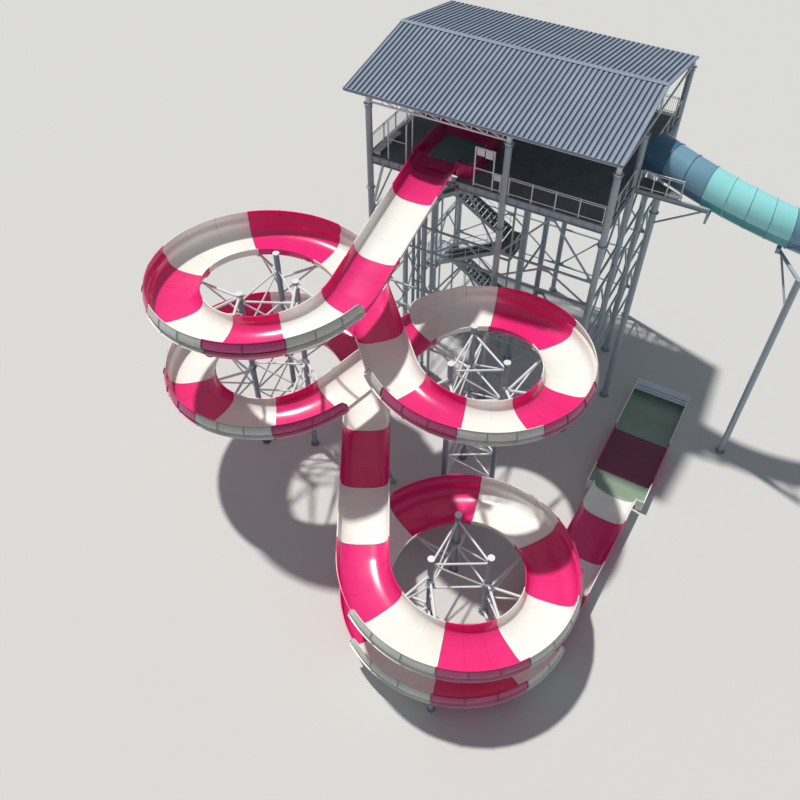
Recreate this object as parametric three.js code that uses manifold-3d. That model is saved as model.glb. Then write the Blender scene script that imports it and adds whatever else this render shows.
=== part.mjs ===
import * as THREE from 'three';
import { mergeVertices } from 'three/addons/utils/BufferGeometryUtils.js';
import Module from 'manifold-3d';

// Water slide tower: a roofed steel launch tower, one open raft slide that winds down through four
// coils into a run-out lane, and the upper bays of a closed tube slide.
// Millimetres, +Z up. The tower's front runs along +X and faces -Y. The origin lies on the ground,
// under the middle of the front left column.

// Tower
const TOWER_X = [0, 8200, 13900];
const TOWER_Y = [0, 4200, 8400, 12600];
const FRONT_POST_X = 4100;
const COLUMN_R = 184;
const POST_R = 100;
const FOOT_R = 330;
const FOOT_T = 40;
const COLUMN_TOP = 18860;
const DECK_TOP = 15840;
const DECK_T = 60;
const BEAM_W = 200;
const BEAM_H = 450;
const LEVELS = [12100, 10450, 7300, 5650, 2500];
const TALL_BAYS = [[15400, 12100], [10450, 7300], [5650, 2500]];
const SHORT_BAYS = [[12100, 10450], [7300, 5650]];
const RAIL_W = 150;
const BRACE_W = 120;
const GAP = 0.3;
const SEAT = 0.8;

// Roof
const ROOF_X = [-1490, 14100];
const ROOF_Y = [-150, 12750];
const EAVE_Z = 19420;
const RIDGE_Z = 20605;
const SHEET_T = 60;
const RAFTER_H = 160;
const TIE_Z = 18950;
const GIRDER_PITCH = 870;

// Slide channel: floor width, wall height and shell thickness are those of the moulded sections
const HALF_W = 1320;
const WALL_H = 770;
const HIGH_WALL_H = 1500;
const HIGH_FOOT_W = 1555;
const HIGH_BULGE_W = 1490;
const SHELL = 45;
const STEP = 900;

// Slide route, all heights are those of the channel floor
const START = [3871, 400];
const START_HEADING = -86.45;
const COIL_1_Y = -9140;
const COIL_R = [4930, 4750, 4930, 4810];
const COIL_2 = [10240, -6500];
const COIL_3 = [-520, -9610];
const COIL_4 = [13480, -14570];
const EXIT_HEADING = 87.9;
const EXIT_LENGTH = 10950;
const FLOOR_Z = {
  start: 15720, coil1: 13920, cross1: 11100, coil2: 10630, cross2: 8210, coil3: 8080,
  down: 4980, coil4: 4610, lowTurn: 1140, exit: 520, end: 380,
};

// Joints between the moulded sections, measured along each leg
const JOINTS = {
  chute: [2600, 7050],
  coil1: [1060, 4340, 7470, 10820, 15020, 19470, 23740],
  cross1: [3390],
  coil2: [1740, 5070, 8340, 11800, 15820, 19890, 24070],
  cross2: [2600],
  coil3: [500, 3720, 7140, 10700, 14600, 18500, 22400, 26300],
  down: [3000, 6880, 10360],
  coil4: [2990, 6470, 9980, 13500, 17390, 21350, 25600, 29200, 32700, 36600, 40400],
  exit: [3650, 5950, 9100],
};

// Launch tub
const TUB_X = [2400, 6150];
const TUB_Y = [400, 4300];
const TUB_TOP = 16620;
const TUB_FLOOR = 15860;
const TUB_WALL = 80;

// Run-out lane
const LANE_X = [16950, 20480];
const LANE_Y = [-3745, 5950];
const LANE_TOP = 900;
const LANE_FLOOR = 320;
const LANE_WALL = 110;

// Masts inside the coils: plan places and top heights of their posts, and the joints they carry
const MASTS = [
  {
    name: 'coil_mast_1', posts: [[-2120, -10190, 12300], [670, -8820, 13300], [-1900, -7000, 12900]],
    joints: [['coil1', 1, 7], ['coil3', 1, 8]],
  },
  {
    name: 'coil_mast_2', posts: [[9380, -5250, 11200], [9560, -8340, 11200], [12010, -6880, 11200]],
    joints: [['coil2', 1, 7]],
  },
  {
    name: 'coil_mast_3', posts: [[12500, -12700, 5500], [12500, -15700, 5500], [15050, -14200, 5500]],
    joints: [['coil4', 1, 11]],
  },
];
const OUTER_POST = { mast: 'coil_mast_3', leg: 'coil4', joint: 10, past: 1140, top: 690, radius: 130 };
const MAST_R = 165;
const MAST_CAP_R = 200;
const MAST_LEVEL_DROP = 550;
const MAST_LEVEL_PITCH = 2300;
const ARM_DROP = 200;
const ARM_PAST = 300;
const ARM_W = 130;
const FIN_T = 12;
const FIN_HALF = 600;

// Tube slide: axis of the first bay's mouth and of the bays after it
const TUBE_START = [14310, 6220, 16890];
const TUBE_HEADING = -19;
const TUBE_TURN = 4.4;
const TUBE_SLOPE = 0.17;
const TUBE_STEEPER = 0.0155;
const TUBE_BAY = 1150;
const TUBE_BAYS = 8;
const TUBE_R = 1065;
const TUBE_WALL = 50;
const TUBE_SIDES = 16;
const TUBE_POST = [23370, 3200];
const TUBE_SPLIT = 4;
const TUBE_SUPPORT_X = 21890;

// Balcony beside the tube
const BALCONY_X = [14130, 16500];
const BALCONY_Y = [4000, 4420];
const BALCONY_COLUMN = [15300, 4200];
const BALCONY_COLUMN_R = 184;
const CRADLE_X = 18000;

// Stair inside the tower
const STAIR_X = [2000, 6100];
const LANDING_L = 1150;
const LANE_A = [5000, 6300];
const LANE_B = [6400, 7700];
const FLIGHTS = 6;
const RISERS = 15;
const FLIGHT_T = 280;
const LANDING_T = 200;

// Railings and water risers
const RAILING_H = 1100;
const RISER_X = [2540, 2900, 3320];
const RISER_Y = 600;
const RISER_R = 110;

const COLOURS = {
  magenta: 0xd62a68, white: 0xf2efe6, steel: 0x9aa3b2, roof: 0x6f7e93, grating: 0x59606b,
  tube: 0x5aa9b5, lane: 0xf2efe6,
};

const wasm = await Module();
wasm.setup();

const part = new THREE.Group();
const radians = THREE.MathUtils.degToRad;

function material(colour, roughness, metalness) {
  return new THREE.MeshStandardMaterial({ color: colour, roughness, metalness });
}

const GELCOAT = material(COLOURS.magenta, 0.25, 0);
const PALE_GELCOAT = material(COLOURS.white, 0.3, 0);
const STEEL = material(COLOURS.steel, 0.5, 0.3);
const ROOFING = material(COLOURS.roof, 0.45, 0.4);
const GRATING = material(COLOURS.grating, 0.7, 0.4);
const TUBE_SHELL = material(COLOURS.tube, 0.25, 0);

function add(name, geometry, finish) {
  const mesh = new THREE.Mesh(geometry, finish);
  mesh.name = name;
  part.add(mesh);
}

// Boolean joins and cuts

function toSolid(geometry) {
  const bare = geometry.clone();
  bare.deleteAttribute('normal');
  bare.deleteAttribute('uv');
  const merged = mergeVertices(bare, 1e-3);
  return new wasm.Manifold(new wasm.Mesh({
    numProp: 3,
    vertProperties: new Float32Array(merged.attributes.position.array),
    triVerts: new Uint32Array(merged.index.array),
  }));
}

function toGeometry(solid) {
  const mesh = solid.getMesh();
  const geometry = new THREE.BufferGeometry();
  geometry.setAttribute('position', new THREE.BufferAttribute(mesh.vertProperties, 3));
  geometry.setIndex(new THREE.BufferAttribute(mesh.triVerts, 1));
  return geometry;
}

function joined(geometries) {
  return geometries.map(toSolid).reduce((whole, next) => whole.add(next));
}

function fuse(geometries) {
  return toGeometry(joined(geometries));
}

function cut(geometries, cutters) {
  return toGeometry(joined(geometries).subtract(joined(cutters)));
}

// Plain shapes

function block(x, y, z) {
  const geometry = new THREE.BoxGeometry(x[1] - x[0], y[1] - y[0], z[1] - z[0]);
  return geometry.translate((x[0] + x[1]) / 2, (y[0] + y[1]) / 2, (z[0] + z[1]) / 2);
}

function upright(x, y, z0, z1, radius, sides = 8) {
  const geometry = new THREE.CylinderGeometry(radius, radius, z1 - z0, sides);
  geometry.rotateX(Math.PI / 2).rotateZ(Math.PI / sides);
  return geometry.translate(x, y, (z0 + z1) / 2);
}

// A square bar from one point to another, its sides level where it can be
function bar(from, to, width, height = width) {
  const a = new THREE.Vector3(...from);
  const b = new THREE.Vector3(...to);
  const along = b.clone().sub(a);
  const geometry = new THREE.BoxGeometry(width, height, along.length());
  const z = along.clone().normalize();
  const level = new THREE.Vector3(-z.y, z.x, 0).normalize();
  const side = Math.abs(z.z) > 0.999 ? new THREE.Vector3(1, 0, 0) : level;
  const up = z.clone().cross(side);
  const middle = a.add(b).multiplyScalar(0.5);
  return geometry.applyMatrix4(new THREE.Matrix4().makeBasis(side, up, z).setPosition(middle));
}

function extrudedAlongX(outline, x0, x1) {
  const shape = new THREE.Shape(outline.map(([y, z]) => new THREE.Vector2(y, z)));
  const geometry = new THREE.ExtrudeGeometry(shape, { depth: x1 - x0, bevelEnabled: false });
  const axes = new THREE.Matrix4().makeBasis(
    new THREE.Vector3(0, 1, 0), new THREE.Vector3(0, 0, 1), new THREE.Vector3(1, 0, 0));
  return geometry.applyMatrix4(axes).translate(x0, 0, 0);
}

function extrudedAlongY(outline, y0, y1) {
  const shape = new THREE.Shape(outline.map(([x, z]) => new THREE.Vector2(x, z)));
  const geometry = new THREE.ExtrudeGeometry(shape, { depth: y1 - y0, bevelEnabled: false });
  return geometry.rotateX(Math.PI / 2).translate(0, y1, 0);
}

// Route of the slide: legs of straight line and circle, each a function of the distance along it

function leftOf(heading) {
  return new THREE.Vector2(-Math.sin(heading), Math.cos(heading));
}

function ahead(heading) {
  return new THREE.Vector2(Math.cos(heading), Math.sin(heading));
}

function lineLeg(name, from, heading, length, z0, z1) {
  return {
    name, length, at: (s) => ({
      plan: from.clone().addScaledVector(ahead(heading), s), heading, z: z0 + (z1 - z0) * s / length,
    }),
  };
}

// turn is +1 for a coil that winds to the left and -1 to the right; heights are pairs of
// distance and floor height
function coilLeg(name, centre, radius, turn, heading, angle, heights) {
  const length = radius * angle;
  return {
    name, length, centre, turn, at: (s) => {
      const now = heading + turn * s / radius;
      const k = Math.max(1, heights.findIndex(([distance]) => distance >= s - 1e-6));
      const [s0, z0] = heights[k - 1];
      const [s1, z1] = heights[k];
      return {
        plan: centre.clone().addScaledVector(leftOf(now), -turn * radius),
        heading: now, z: z0 + (z1 - z0) * (s - s0) / (s1 - s0),
      };
    },
  };
}

// The straight run that leaves one coil and joins the next
function tangent(c1, r1, turn1, c2, r2, turn2) {
  const between = c2.clone().sub(c1);
  const heading = between.angle() - Math.asin((turn2 * r2 - turn1 * r1) / between.length());
  const from = c1.clone().addScaledVector(leftOf(heading), -turn1 * r1);
  const to = c2.clone().addScaledVector(leftOf(heading), -turn2 * r2);
  return { heading, from, to, length: from.distanceTo(to) };
}

function turnAngle(from, to, turn) {
  const full = 2 * Math.PI;
  return (((to - from) * turn) % full + full) % full;
}

function buildRoute() {
  const h0 = radians(START_HEADING);
  const start = new THREE.Vector2(...START);
  const first = (COIL_1_Y - START[1]) / Math.sin(h0);
  const touch = start.clone().addScaledVector(ahead(h0), first);
  const c1 = touch.clone().addScaledVector(leftOf(h0), -COIL_R[0]);
  const [c2, c3, c4] = [COIL_2, COIL_3, COIL_4].map((c) => new THREE.Vector2(...c));
  const t12 = tangent(c1, COIL_R[0], -1, c2, COIL_R[1], 1);
  const t23 = tangent(c2, COIL_R[1], 1, c3, COIL_R[2], -1);
  const t34 = tangent(c3, COIL_R[2], -1, c4, COIL_R[3], 1);
  const exitHeading = radians(EXIT_HEADING);
  const z = FLOOR_Z;
  const a1 = turnAngle(h0, t12.heading, -1);
  const a2 = turnAngle(t12.heading, t23.heading, 1);
  const a3 = turnAngle(t23.heading, t34.heading, -1);
  const a4 = turnAngle(t34.heading, exitHeading, 1);
  const fullTurn = 2 * Math.PI * COIL_R[3];
  const coil4End = fullTurn + a4 * COIL_R[3];
  const heightsOver = (angle, radius, za, zb) => [[0, za], [angle * radius, zb]];
  const coil4 = coilLeg('coil4', c4, COIL_R[3], 1, t34.heading, 2 * Math.PI + a4,
    [[0, z.coil4], [fullTurn, z.lowTurn], [coil4End, z.exit]]);
  return [
    lineLeg('chute', start, h0, first, z.start, z.coil1),
    coilLeg('coil1', c1, COIL_R[0], -1, h0, a1, heightsOver(a1, COIL_R[0], z.coil1, z.cross1)),
    lineLeg('cross1', t12.from, t12.heading, t12.length, z.cross1, z.coil2),
    coilLeg('coil2', c2, COIL_R[1], 1, t12.heading, a2, heightsOver(a2, COIL_R[1], z.coil2, z.cross2)),
    lineLeg('cross2', t23.from, t23.heading, t23.length, z.cross2, z.coil3),
    coilLeg('coil3', c3, COIL_R[2], -1, t23.heading, a3, heightsOver(a3, COIL_R[2], z.coil3, z.down)),
    lineLeg('down', t34.from, t34.heading, t34.length, z.down, z.coil4),
    coil4,
    lineLeg('exit', coil4.at(coil4End).plan, exitHeading, EXIT_LENGTH, z.exit, z.end),
  ];
}

// Every leg is stepped through its joints; a station holds plan place, heading, floor height, and
// the leg and joint number that it belongs to
function buildStations(legs) {
  const stations = [];
  for (const leg of legs) {
    const breaks = [0, ...JOINTS[leg.name], leg.length];
    for (let k = 0; k + 1 < breaks.length; k += 1) {
      const span = breaks[k + 1] - breaks[k];
      const steps = leg.turn ? Math.max(1, Math.round(span / STEP)) : 1;
      for (let i = 0; i < steps; i += 1) {
        const station = leg.at(breaks[k] + span * i / steps);
        stations.push({ ...station, leg: leg.name, joint: i === 0 ? k : null, turn: leg.turn ?? 0 });
      }
    }
  }
  const last = legs.at(-1);
  stations.push({ ...last.at(last.length), leg: 'end', joint: 0, turn: 0 });
  return stations;
}

const LEGS = buildRoute();
const STATIONS = buildStations(LEGS);

// Joint 0 of a leg is its start, and joint k is the k-th entry of its list
function stationOf(leg, joint) {
  return STATIONS.findIndex((station) => station.leg === leg && station.joint === joint);
}

// A curve that stays upright: its section's x points left of travel and its y points up
class UprightRoute extends THREE.Curve {
  constructor(stations) {
    super();
    this.points = stations.map(({ plan, z }) => new THREE.Vector3(plan.x, plan.y, z));
    this.left = stations.map(({ heading }) => new THREE.Vector3(-Math.sin(heading), Math.cos(heading), 0));
  }

  getSpacedPoints() {
    return this.points;
  }

  computeFrenetFrames() {
    const up = this.points.map(() => new THREE.Vector3(0, 0, 1));
    return { tangents: up, normals: this.left, binormals: up };
  }
}

// Sweeps an outline along the stations, each end drawn back by half of the joint gap
function sweep(outline, from, to) {
  const copyOf = (station) => ({ ...station, plan: station.plan.clone() });
  const stations = STATIONS.slice(from, to + 1).map(copyOf);
  stations[0].plan.addScaledVector(ahead(stations[0].heading), GAP / 2);
  stations.at(-1).plan.addScaledVector(ahead(stations.at(-1).heading), -GAP / 2);
  const shape = new THREE.Shape(outline.map(([x, y]) => new THREE.Vector2(x, y)));
  const options = { steps: stations.length - 1, extrudePath: new UprightRoute(stations) };
  return new THREE.ExtrudeGeometry(shape, options);
}

function mirrored(half) {
  return [...half, ...half.map(([x, y]) => [-x, y]).reverse()];
}

// Open channel: flat floor, rolled corners and nearly upright walls
function channelOutline() {
  const inner = [[HALF_W - SHELL, WALL_H], [HALF_W - 110, 300], [870, 0]];
  const outer = [[HALF_W, WALL_H], [HALF_W - 60, 270], [870 + SHELL / 2, -SHELL]];
  return [...mirrored(inner), ...mirrored(outer).reverse()];
}

// High outer wall: stands on the channel's rim with a wide flange, bulges out and leans back in
// at its lip
function highWallOutline(side) {
  const base = WALL_H + SEAT;
  const outline = [
    [HALF_W - SHELL, base], [HIGH_FOOT_W, base], [HIGH_FOOT_W, base + 25], [HIGH_BULGE_W - 30, base + 45],
    [HIGH_BULGE_W, 980], [HIGH_BULGE_W - 40, 1230], [HALF_W + 15, HIGH_WALL_H],
    [HALF_W - 30, HIGH_WALL_H], [HIGH_BULGE_W - 100, 1210], [HIGH_BULGE_W - 70, 980],
    [HALF_W + 30, base + 45], [HALF_W - SHELL, base + 45],
  ];
  return side > 0 ? outline : outline.map(([x, y]) => [-x, y]).reverse();
}

const RUNS = [
  ['entry_chute', ['chute', 0], ['coil1', 1], PALE_GELCOAT],
  ['coil_1_front', ['coil1', 1], ['coil1', 4], GELCOAT],
  ['coil_1_back', ['coil1', 4], ['cross1', 0], PALE_GELCOAT],
  ['crossover_1', ['cross1', 0], ['coil2', 1], GELCOAT],
  ['coil_2_front', ['coil2', 1], ['coil2', 4], PALE_GELCOAT],
  ['coil_2_back', ['coil2', 4], ['coil2', 7], GELCOAT],
  ['crossover_2', ['coil2', 7], ['coil3', 1], PALE_GELCOAT],
  ['coil_3_front', ['coil3', 1], ['coil3', 4], GELCOAT],
  ['coil_3_back', ['coil3', 4], ['coil3', 8], PALE_GELCOAT],
  ['down_chute', ['coil3', 8], ['down', 3], GELCOAT],
  ['coil_4_front', ['down', 3], ['coil4', 3], PALE_GELCOAT],
  ['coil_4_back', ['coil4', 3], ['coil4', 7], GELCOAT],
  ['coil_4_low_left', ['coil4', 7], ['coil4', 10], PALE_GELCOAT],
  ['coil_4_low_right', ['coil4', 10], ['exit', 0], GELCOAT],
  ['exit_chute', ['exit', 0], ['end', 0], PALE_GELCOAT],
];

const HIGH_WALLS = [
  ['high_wall_1', ['coil1', 1], ['coil1', 7], 1],
  ['high_wall_2', ['coil2', 0], ['coil2', 7], -1],
  ['high_wall_3', ['coil3', 1], ['coil3', 7], 1],
  ['high_wall_4_upper', ['coil4', 1], ['coil4', 7], -1],
  ['high_wall_4_lower', ['coil4', 9], ['exit', 0], -1],
];

function buildSlide() {
  for (const [name, from, to, finish] of RUNS) {
    const run = sweep(channelOutline(), stationOf(...from), stationOf(...to));
    const pastTub = block([1000, 7000], [START[1] - GAP, START[1] + 500], [15000, 17000]);
    add(name, name === 'entry_chute' ? cut([run], [pastTub]) : run, finish);
  }
  for (const [name, from, to, side] of HIGH_WALLS) {
    add(name, sweep(highWallOutline(side), stationOf(...from), stationOf(...to)), GELCOAT);
  }
}

// Launch tub: an open box with its front cut away where the chute leaves it
function buildTub() {
  const inner = (range) => [range[0] + TUB_WALL, range[1] - TUB_WALL];
  const mouth = [START[0] - HALF_W - 10, START[0] + HALF_W + 10];
  const body = block(TUB_X, TUB_Y, [DECK_TOP - DECK_T, TUB_TOP]);
  const basin = block(inner(TUB_X), inner(TUB_Y), [TUB_FLOOR, TUB_TOP + 10]);
  const opening = block(mouth, [TUB_Y[0] - 10, TUB_Y[0] + TUB_WALL + 10], [TUB_FLOOR, TUB_TOP + 10]);
  add('launch_tub', cut([body], [basin, opening]), GELCOAT);
}

// Run-out lane: walls that stand on the ground, a floor, and slats across its far end
function buildLane() {
  const inner = (range) => [range[0] + LANE_WALL, range[1] - LANE_WALL];
  const end = STATIONS.at(-1).plan;
  const mouth = [end.x - HALF_W - 20, end.x + HALF_W + 20];
  const body = block(LANE_X, LANE_Y, [0, LANE_TOP]);
  const basin = block(inner(LANE_X), inner(LANE_Y), [LANE_FLOOR, LANE_TOP + 10]);
  const under = block(inner(LANE_X), inner(LANE_Y), [-10, LANE_FLOOR - 60]);
  const opening = block(mouth, [LANE_Y[0] - 10, LANE_Y[0] + LANE_WALL + 10], [LANE_FLOOR, LANE_TOP + 10]);
  const sillTop = FLOOR_Z.end - SHELL - 0.5;
  const sill = block([end.x - 900, end.x + 900], [LANE_Y[0] - 130, LANE_Y[0] + 20], [0, sillTop]);
  add('runout_lane', cut([body, sill], [basin, under, opening]), PALE_GELCOAT);
}

// Steel frames

function column(x, y, z1, radius = COLUMN_R) {
  return [upright(x, y, 0, z1, radius), upright(x, y, 0, FOOT_T, FOOT_R)];
}

// Level rails and chevrons of one bay in the plane from a to b; the apex of each chevron is at the
// middle of its upper level
function chevrons(a, b, bays) {
  const middle = [(a[0] + b[0]) / 2, (a[1] + b[1]) / 2];
  return bays.flatMap(([upper, lower]) => [a, b].map((foot) =>
    bar([...foot, lower], [...middle, upper], BRACE_W)));
}

function rails(a, b, width = RAIL_W) {
  return LEVELS.map((z) => bar([...a, z], [...b, z], width));
}

function beamAlongX(x0, x1, y, z1 = DECK_TOP - DECK_T - GAP, height = BEAM_H) {
  return block([x0, x1], [y - BEAM_W / 2, y + BEAM_W / 2], [z1 - height, z1]);
}

function beamAlongY(x, y0, y1, z1 = DECK_TOP - DECK_T - GAP, height = BEAM_H) {
  return block([x - BEAM_W / 2, x + BEAM_W / 2], [y0, y1], [z1 - height, z1]);
}

const COLUMN_FACE = COLUMN_R * Math.cos(Math.PI / 8);

function buildFrontFrame() {
  const [x0, x1, x2] = TOWER_X;
  const transomTop = FLOOR_Z.start - SHELL - 101;
  const solids = [
    ...TOWER_X.flatMap((x) => column(x, 0, COLUMN_TOP)),
    ...column(FRONT_POST_X, 0, transomTop - 20, POST_R),
    ...rails([x0, 0], [x2, 0]),
    beamAlongX(x0, 2440, 0),
    beamAlongX(5380, x2, 0),
    block([2240, 5580], [-75, 75], [transomTop - 200, transomTop]),
    ...chevrons([x0, 0], [FRONT_POST_X, 0], TALL_BAYS.slice(1)),
    ...chevrons([FRONT_POST_X, 0], [x1, 0], [...TALL_BAYS, ...SHORT_BAYS]),
    ...chevrons([x1, 0], [x2, 0], [...TALL_BAYS, ...SHORT_BAYS]),
    bar([0, 0, 12780], [900, 0, 15400], BRACE_W),
  ];
  add('front_frame', fuse(solids), STEEL);
}

function buildBackFrame() {
  const [x0, x1, x2] = TOWER_X;
  const y = TOWER_Y.at(-1);
  const solids = [
    ...TOWER_X.flatMap((x) => column(x, y, COLUMN_TOP)),
    ...rails([x0, y], [x2, y]),
    beamAlongX(x0, x2, y),
    ...chevrons([x0, y], [x1, y], TALL_BAYS),
    ...chevrons([x1, y], [x2, y], TALL_BAYS),
  ];
  add('back_frame', fuse(solids), STEEL);
}

function buildSideFrame(name, x, columnTops) {
  const near = COLUMN_FACE + GAP;
  const far = TOWER_Y.at(-1) - near;
  const solids = [
    ...column(x, TOWER_Y[1], columnTops[0]),
    ...column(x, TOWER_Y[2], columnTops[1]),
    ...rails([x, near], [x, far]),
    beamAlongY(x, near, far),
    ...chevrons([x, 300], [x, TOWER_Y[1]], TALL_BAYS),
    ...chevrons([x, TOWER_Y[1]], [x, TOWER_Y[2]], TALL_BAYS),
    ...chevrons([x, TOWER_Y[2]], [x, TOWER_Y[3] - 300], TALL_BAYS),
  ];
  add(name, fuse(solids), STEEL);
}

// Columns and deck beams inside the tower
function buildInnerFrame() {
  const x = TOWER_X[1];
  const y0 = COLUMN_FACE + GAP;
  const y1 = TOWER_Y.at(-1) - y0;
  const side = BEAM_W / 2 + GAP;
  const [left, right] = [TOWER_X[0] + side, TOWER_X[2] - side];
  const solids = [
    ...column(x, TOWER_Y[1], DECK_TOP - DECK_T - GAP),
    ...column(x, TOWER_Y[2], DECK_TOP - DECK_T - GAP),
    beamAlongY(x, y0, y1),
    beamAlongX(left, x, 1900),
    beamAlongX(COLUMN_FACE + GAP, TOWER_X[2] - y0, TOWER_Y[1]),
    beamAlongX(COLUMN_FACE + GAP, TOWER_X[2] - y0, TOWER_Y[2]),
    beamAlongX(left, right, 10500),
    bar([x, TOWER_Y[1], 12100], [x, TOWER_Y[2], 12100], RAIL_W),
    bar([x, TOWER_Y[1], 7300], [x, TOWER_Y[2], 7300], RAIL_W),
    bar([x, TOWER_Y[1], 2500], [x, TOWER_Y[2], 2500], RAIL_W),
  ];
  add('inner_frame', fuse(solids), STEEL);
}

function buildDeck() {
  const edge = BEAM_W / 2;
  const across = [TOWER_X[0] - edge, TOWER_X[2] + edge];
  const slab = block(across, [-edge, TOWER_Y[3] + edge], [DECK_TOP - DECK_T, DECK_TOP]);
  const perimeter = [
    ...TOWER_X.map((x) => [x, TOWER_Y[0]]), ...TOWER_X.map((x) => [x, TOWER_Y[3]]),
    [TOWER_X[0], TOWER_Y[1]], [TOWER_X[0], TOWER_Y[2]], [TOWER_X[2], TOWER_Y[1]], [TOWER_X[2], TOWER_Y[2]],
  ];
  const cutters = [
    ...perimeter.map(([x, y]) => upright(x, y, DECK_TOP - 100, DECK_TOP + 10, COLUMN_R + 5)),
    block([TUB_X[0] - GAP, TUB_X[1] + GAP], [-200, TUB_Y[1] + GAP], [DECK_TOP - 100, DECK_TOP + 10]),
    block([STAIR_X[0], STAIR_X[1] + 100], [LANE_B[0], LANE_B[1]], [DECK_TOP - 100, DECK_TOP + 10]),
  ];
  const strips = [
    block([TUB_X[0] - 60, 2440], [-edge, TUB_Y[0] - 20], [DECK_TOP - DECK_T, DECK_TOP]),
    block([5380, TUB_X[1] + 60], [-edge, TUB_Y[0] - 20], [DECK_TOP - DECK_T, DECK_TOP]),
  ];
  const whole = joined([slab]).subtract(joined(cutters)).add(joined(strips));
  add('deck', toGeometry(whole), GRATING);
}

// Roof

function roofZ(y) {
  const half = (ROOF_Y[1] - ROOF_Y[0]) / 2;
  const middle = (ROOF_Y[0] + ROOF_Y[1]) / 2;
  return RIDGE_Z - (RIDGE_Z - EAVE_Z) * Math.abs(y - middle) / half;
}

function buildRoof() {
  const [y0, y1] = ROOF_Y;
  const middle = (y0 + y1) / 2;
  const strip = (ya, yb, drop, thick) => [
    [ya, roofZ(ya) - drop], [yb, roofZ(yb) - drop],
    [yb, roofZ(yb) - drop - thick], [ya, roofZ(ya) - drop - thick],
  ];
  add('roof_sheet_front', extrudedAlongX(strip(y0, middle - GAP, 0, SHEET_T), ...ROOF_X), ROOFING);
  add('roof_sheet_back', extrudedAlongX(strip(middle + GAP, y1, 0, SHEET_T), ...ROOF_X), ROOFING);
  const cap = [
    [middle - 260, roofZ(middle - 260) + GAP], [middle, RIDGE_Z + GAP],
    [middle + 260, roofZ(middle + 260) + GAP], [middle + 260, roofZ(middle + 260) + 25],
    [middle, RIDGE_Z + 25], [middle - 260, roofZ(middle - 260) + 25],
  ];
  add('ridge_cap', extrudedAlongX(cap, ...ROOF_X), ROOFING);
}

function buildRoofFrame() {
  const [y0, y1] = ROOF_Y;
  const middle = (y0 + y1) / 2;
  const under = SHEET_T + GAP;
  const rafter = (x) => extrudedAlongX([
    [y0 + 60, roofZ(y0 + 60) - under], [middle, RIDGE_Z - under], [y1 - 60, roofZ(y1 - 60) - under],
    [y1 - 60, roofZ(y1 - 60) - under - RAFTER_H], [middle, RIDGE_Z - under - RAFTER_H],
    [y0 + 60, roofZ(y0 + 60) - under - RAFTER_H],
  ], x - 50, x + 50);
  const solids = [-1400, 0, 4100, 8200, 11050, 13900].map(rafter);
  const seat = COLUMN_TOP + GAP;
  for (const y of [0, TOWER_Y[3]]) {
    solids.push(block([-1450, 14000], [y - 60, y + 60], [roofZ(y) - under - 200, roofZ(y) - under - 60]));
    for (const x of TOWER_X) {
      solids.push(block([x - 110, x + 110], [y - 110, y + 110], [seat, roofZ(y) - under - 80]));
    }
  }
  for (const x of TOWER_X) {
    solids.push(bar([x, 0, TIE_Z], [x, TOWER_Y[3], TIE_Z], 100));
    solids.push(bar([x, middle, TIE_Z], [x, middle, RIDGE_Z - 150], 100));
  }
  for (const y of [2100, 4200, 8400, 10500]) {
    solids.push(block([-1450, 14000], [y - 40, y + 40], [roofZ(y) - 260, roofZ(y) - 130]));
  }
  solids.push(...frontGirder(roofZ(0) - under - 130));
  add('roof_frame', fuse(solids), STEEL);
}

// Lattice girder under the front eave, between the first two columns
function frontGirder(topZ) {
  const [x0, x1] = TOWER_X;
  const solids = [bar([x0, 0, TIE_Z], [x1, 0, TIE_Z], 80)];
  const count = Math.floor((x1 - x0) / GIRDER_PITCH);
  for (let k = 1; k <= count; k += 1) {
    const x = x1 - 380 - (k - 1) * GIRDER_PITCH;
    solids.push(bar([x, 0, TIE_Z], [x, 0, topZ], 50));
    if (k < count) solids.push(bar([x, 0, TIE_Z], [x - GIRDER_PITCH, 0, topZ], 50));
  }
  return solids;
}

// Railings: posts, a top rail, a middle rail and a toe rail, standing on the deck

function railing(a, b, posts, z0 = DECK_TOP + GAP, height = RAILING_H) {
  const at = (k) => [a[0] + (b[0] - a[0]) * k, a[1] + (b[1] - a[1]) * k];
  const solids = [height - 30, height / 2, 120].map((z) => bar([...a, z0 + z], [...b, z0 + z], 50));
  for (let k = 0; k < posts; k += 1) {
    const [x, y] = at(k / (posts - 1));
    solids.push(block([x - 30, x + 30], [y - 30, y + 30], [z0, z0 + height]));
  }
  return solids;
}

function buildRailings() {
  const [x0, x1, x2] = TOWER_X;
  const clear = COLUMN_R + 60;
  const back = TOWER_Y[3];
  const sections = {
    railing_front: railing([x1 + clear, 0], [x2 - clear, 0], 5),
    railing_left: railing([x0, clear], [x0, back - clear], 10),
    railing_back_left: railing([x0 + clear, back], [x1 - clear, back], 7),
    railing_back_right: railing([x1 + clear, back], [x2 - clear, back], 5),
    railing_right: railing([x2, 7500], [x2, back - clear], 5),
    railing_corner: railing([x2, clear], [x2, TOWER_Y[1] - clear], 4),
  };
  for (const [name, solids] of Object.entries(sections)) add(name, fuse(solids), STEEL);
}

// Two tall barriers stand on the deck's front edge, one at each side of the launch tub

function tallPost(x, y, top) {
  return block([x - 30, x + 30], [y - 30, y + 30], [DECK_TOP + GAP, top]);
}

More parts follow.
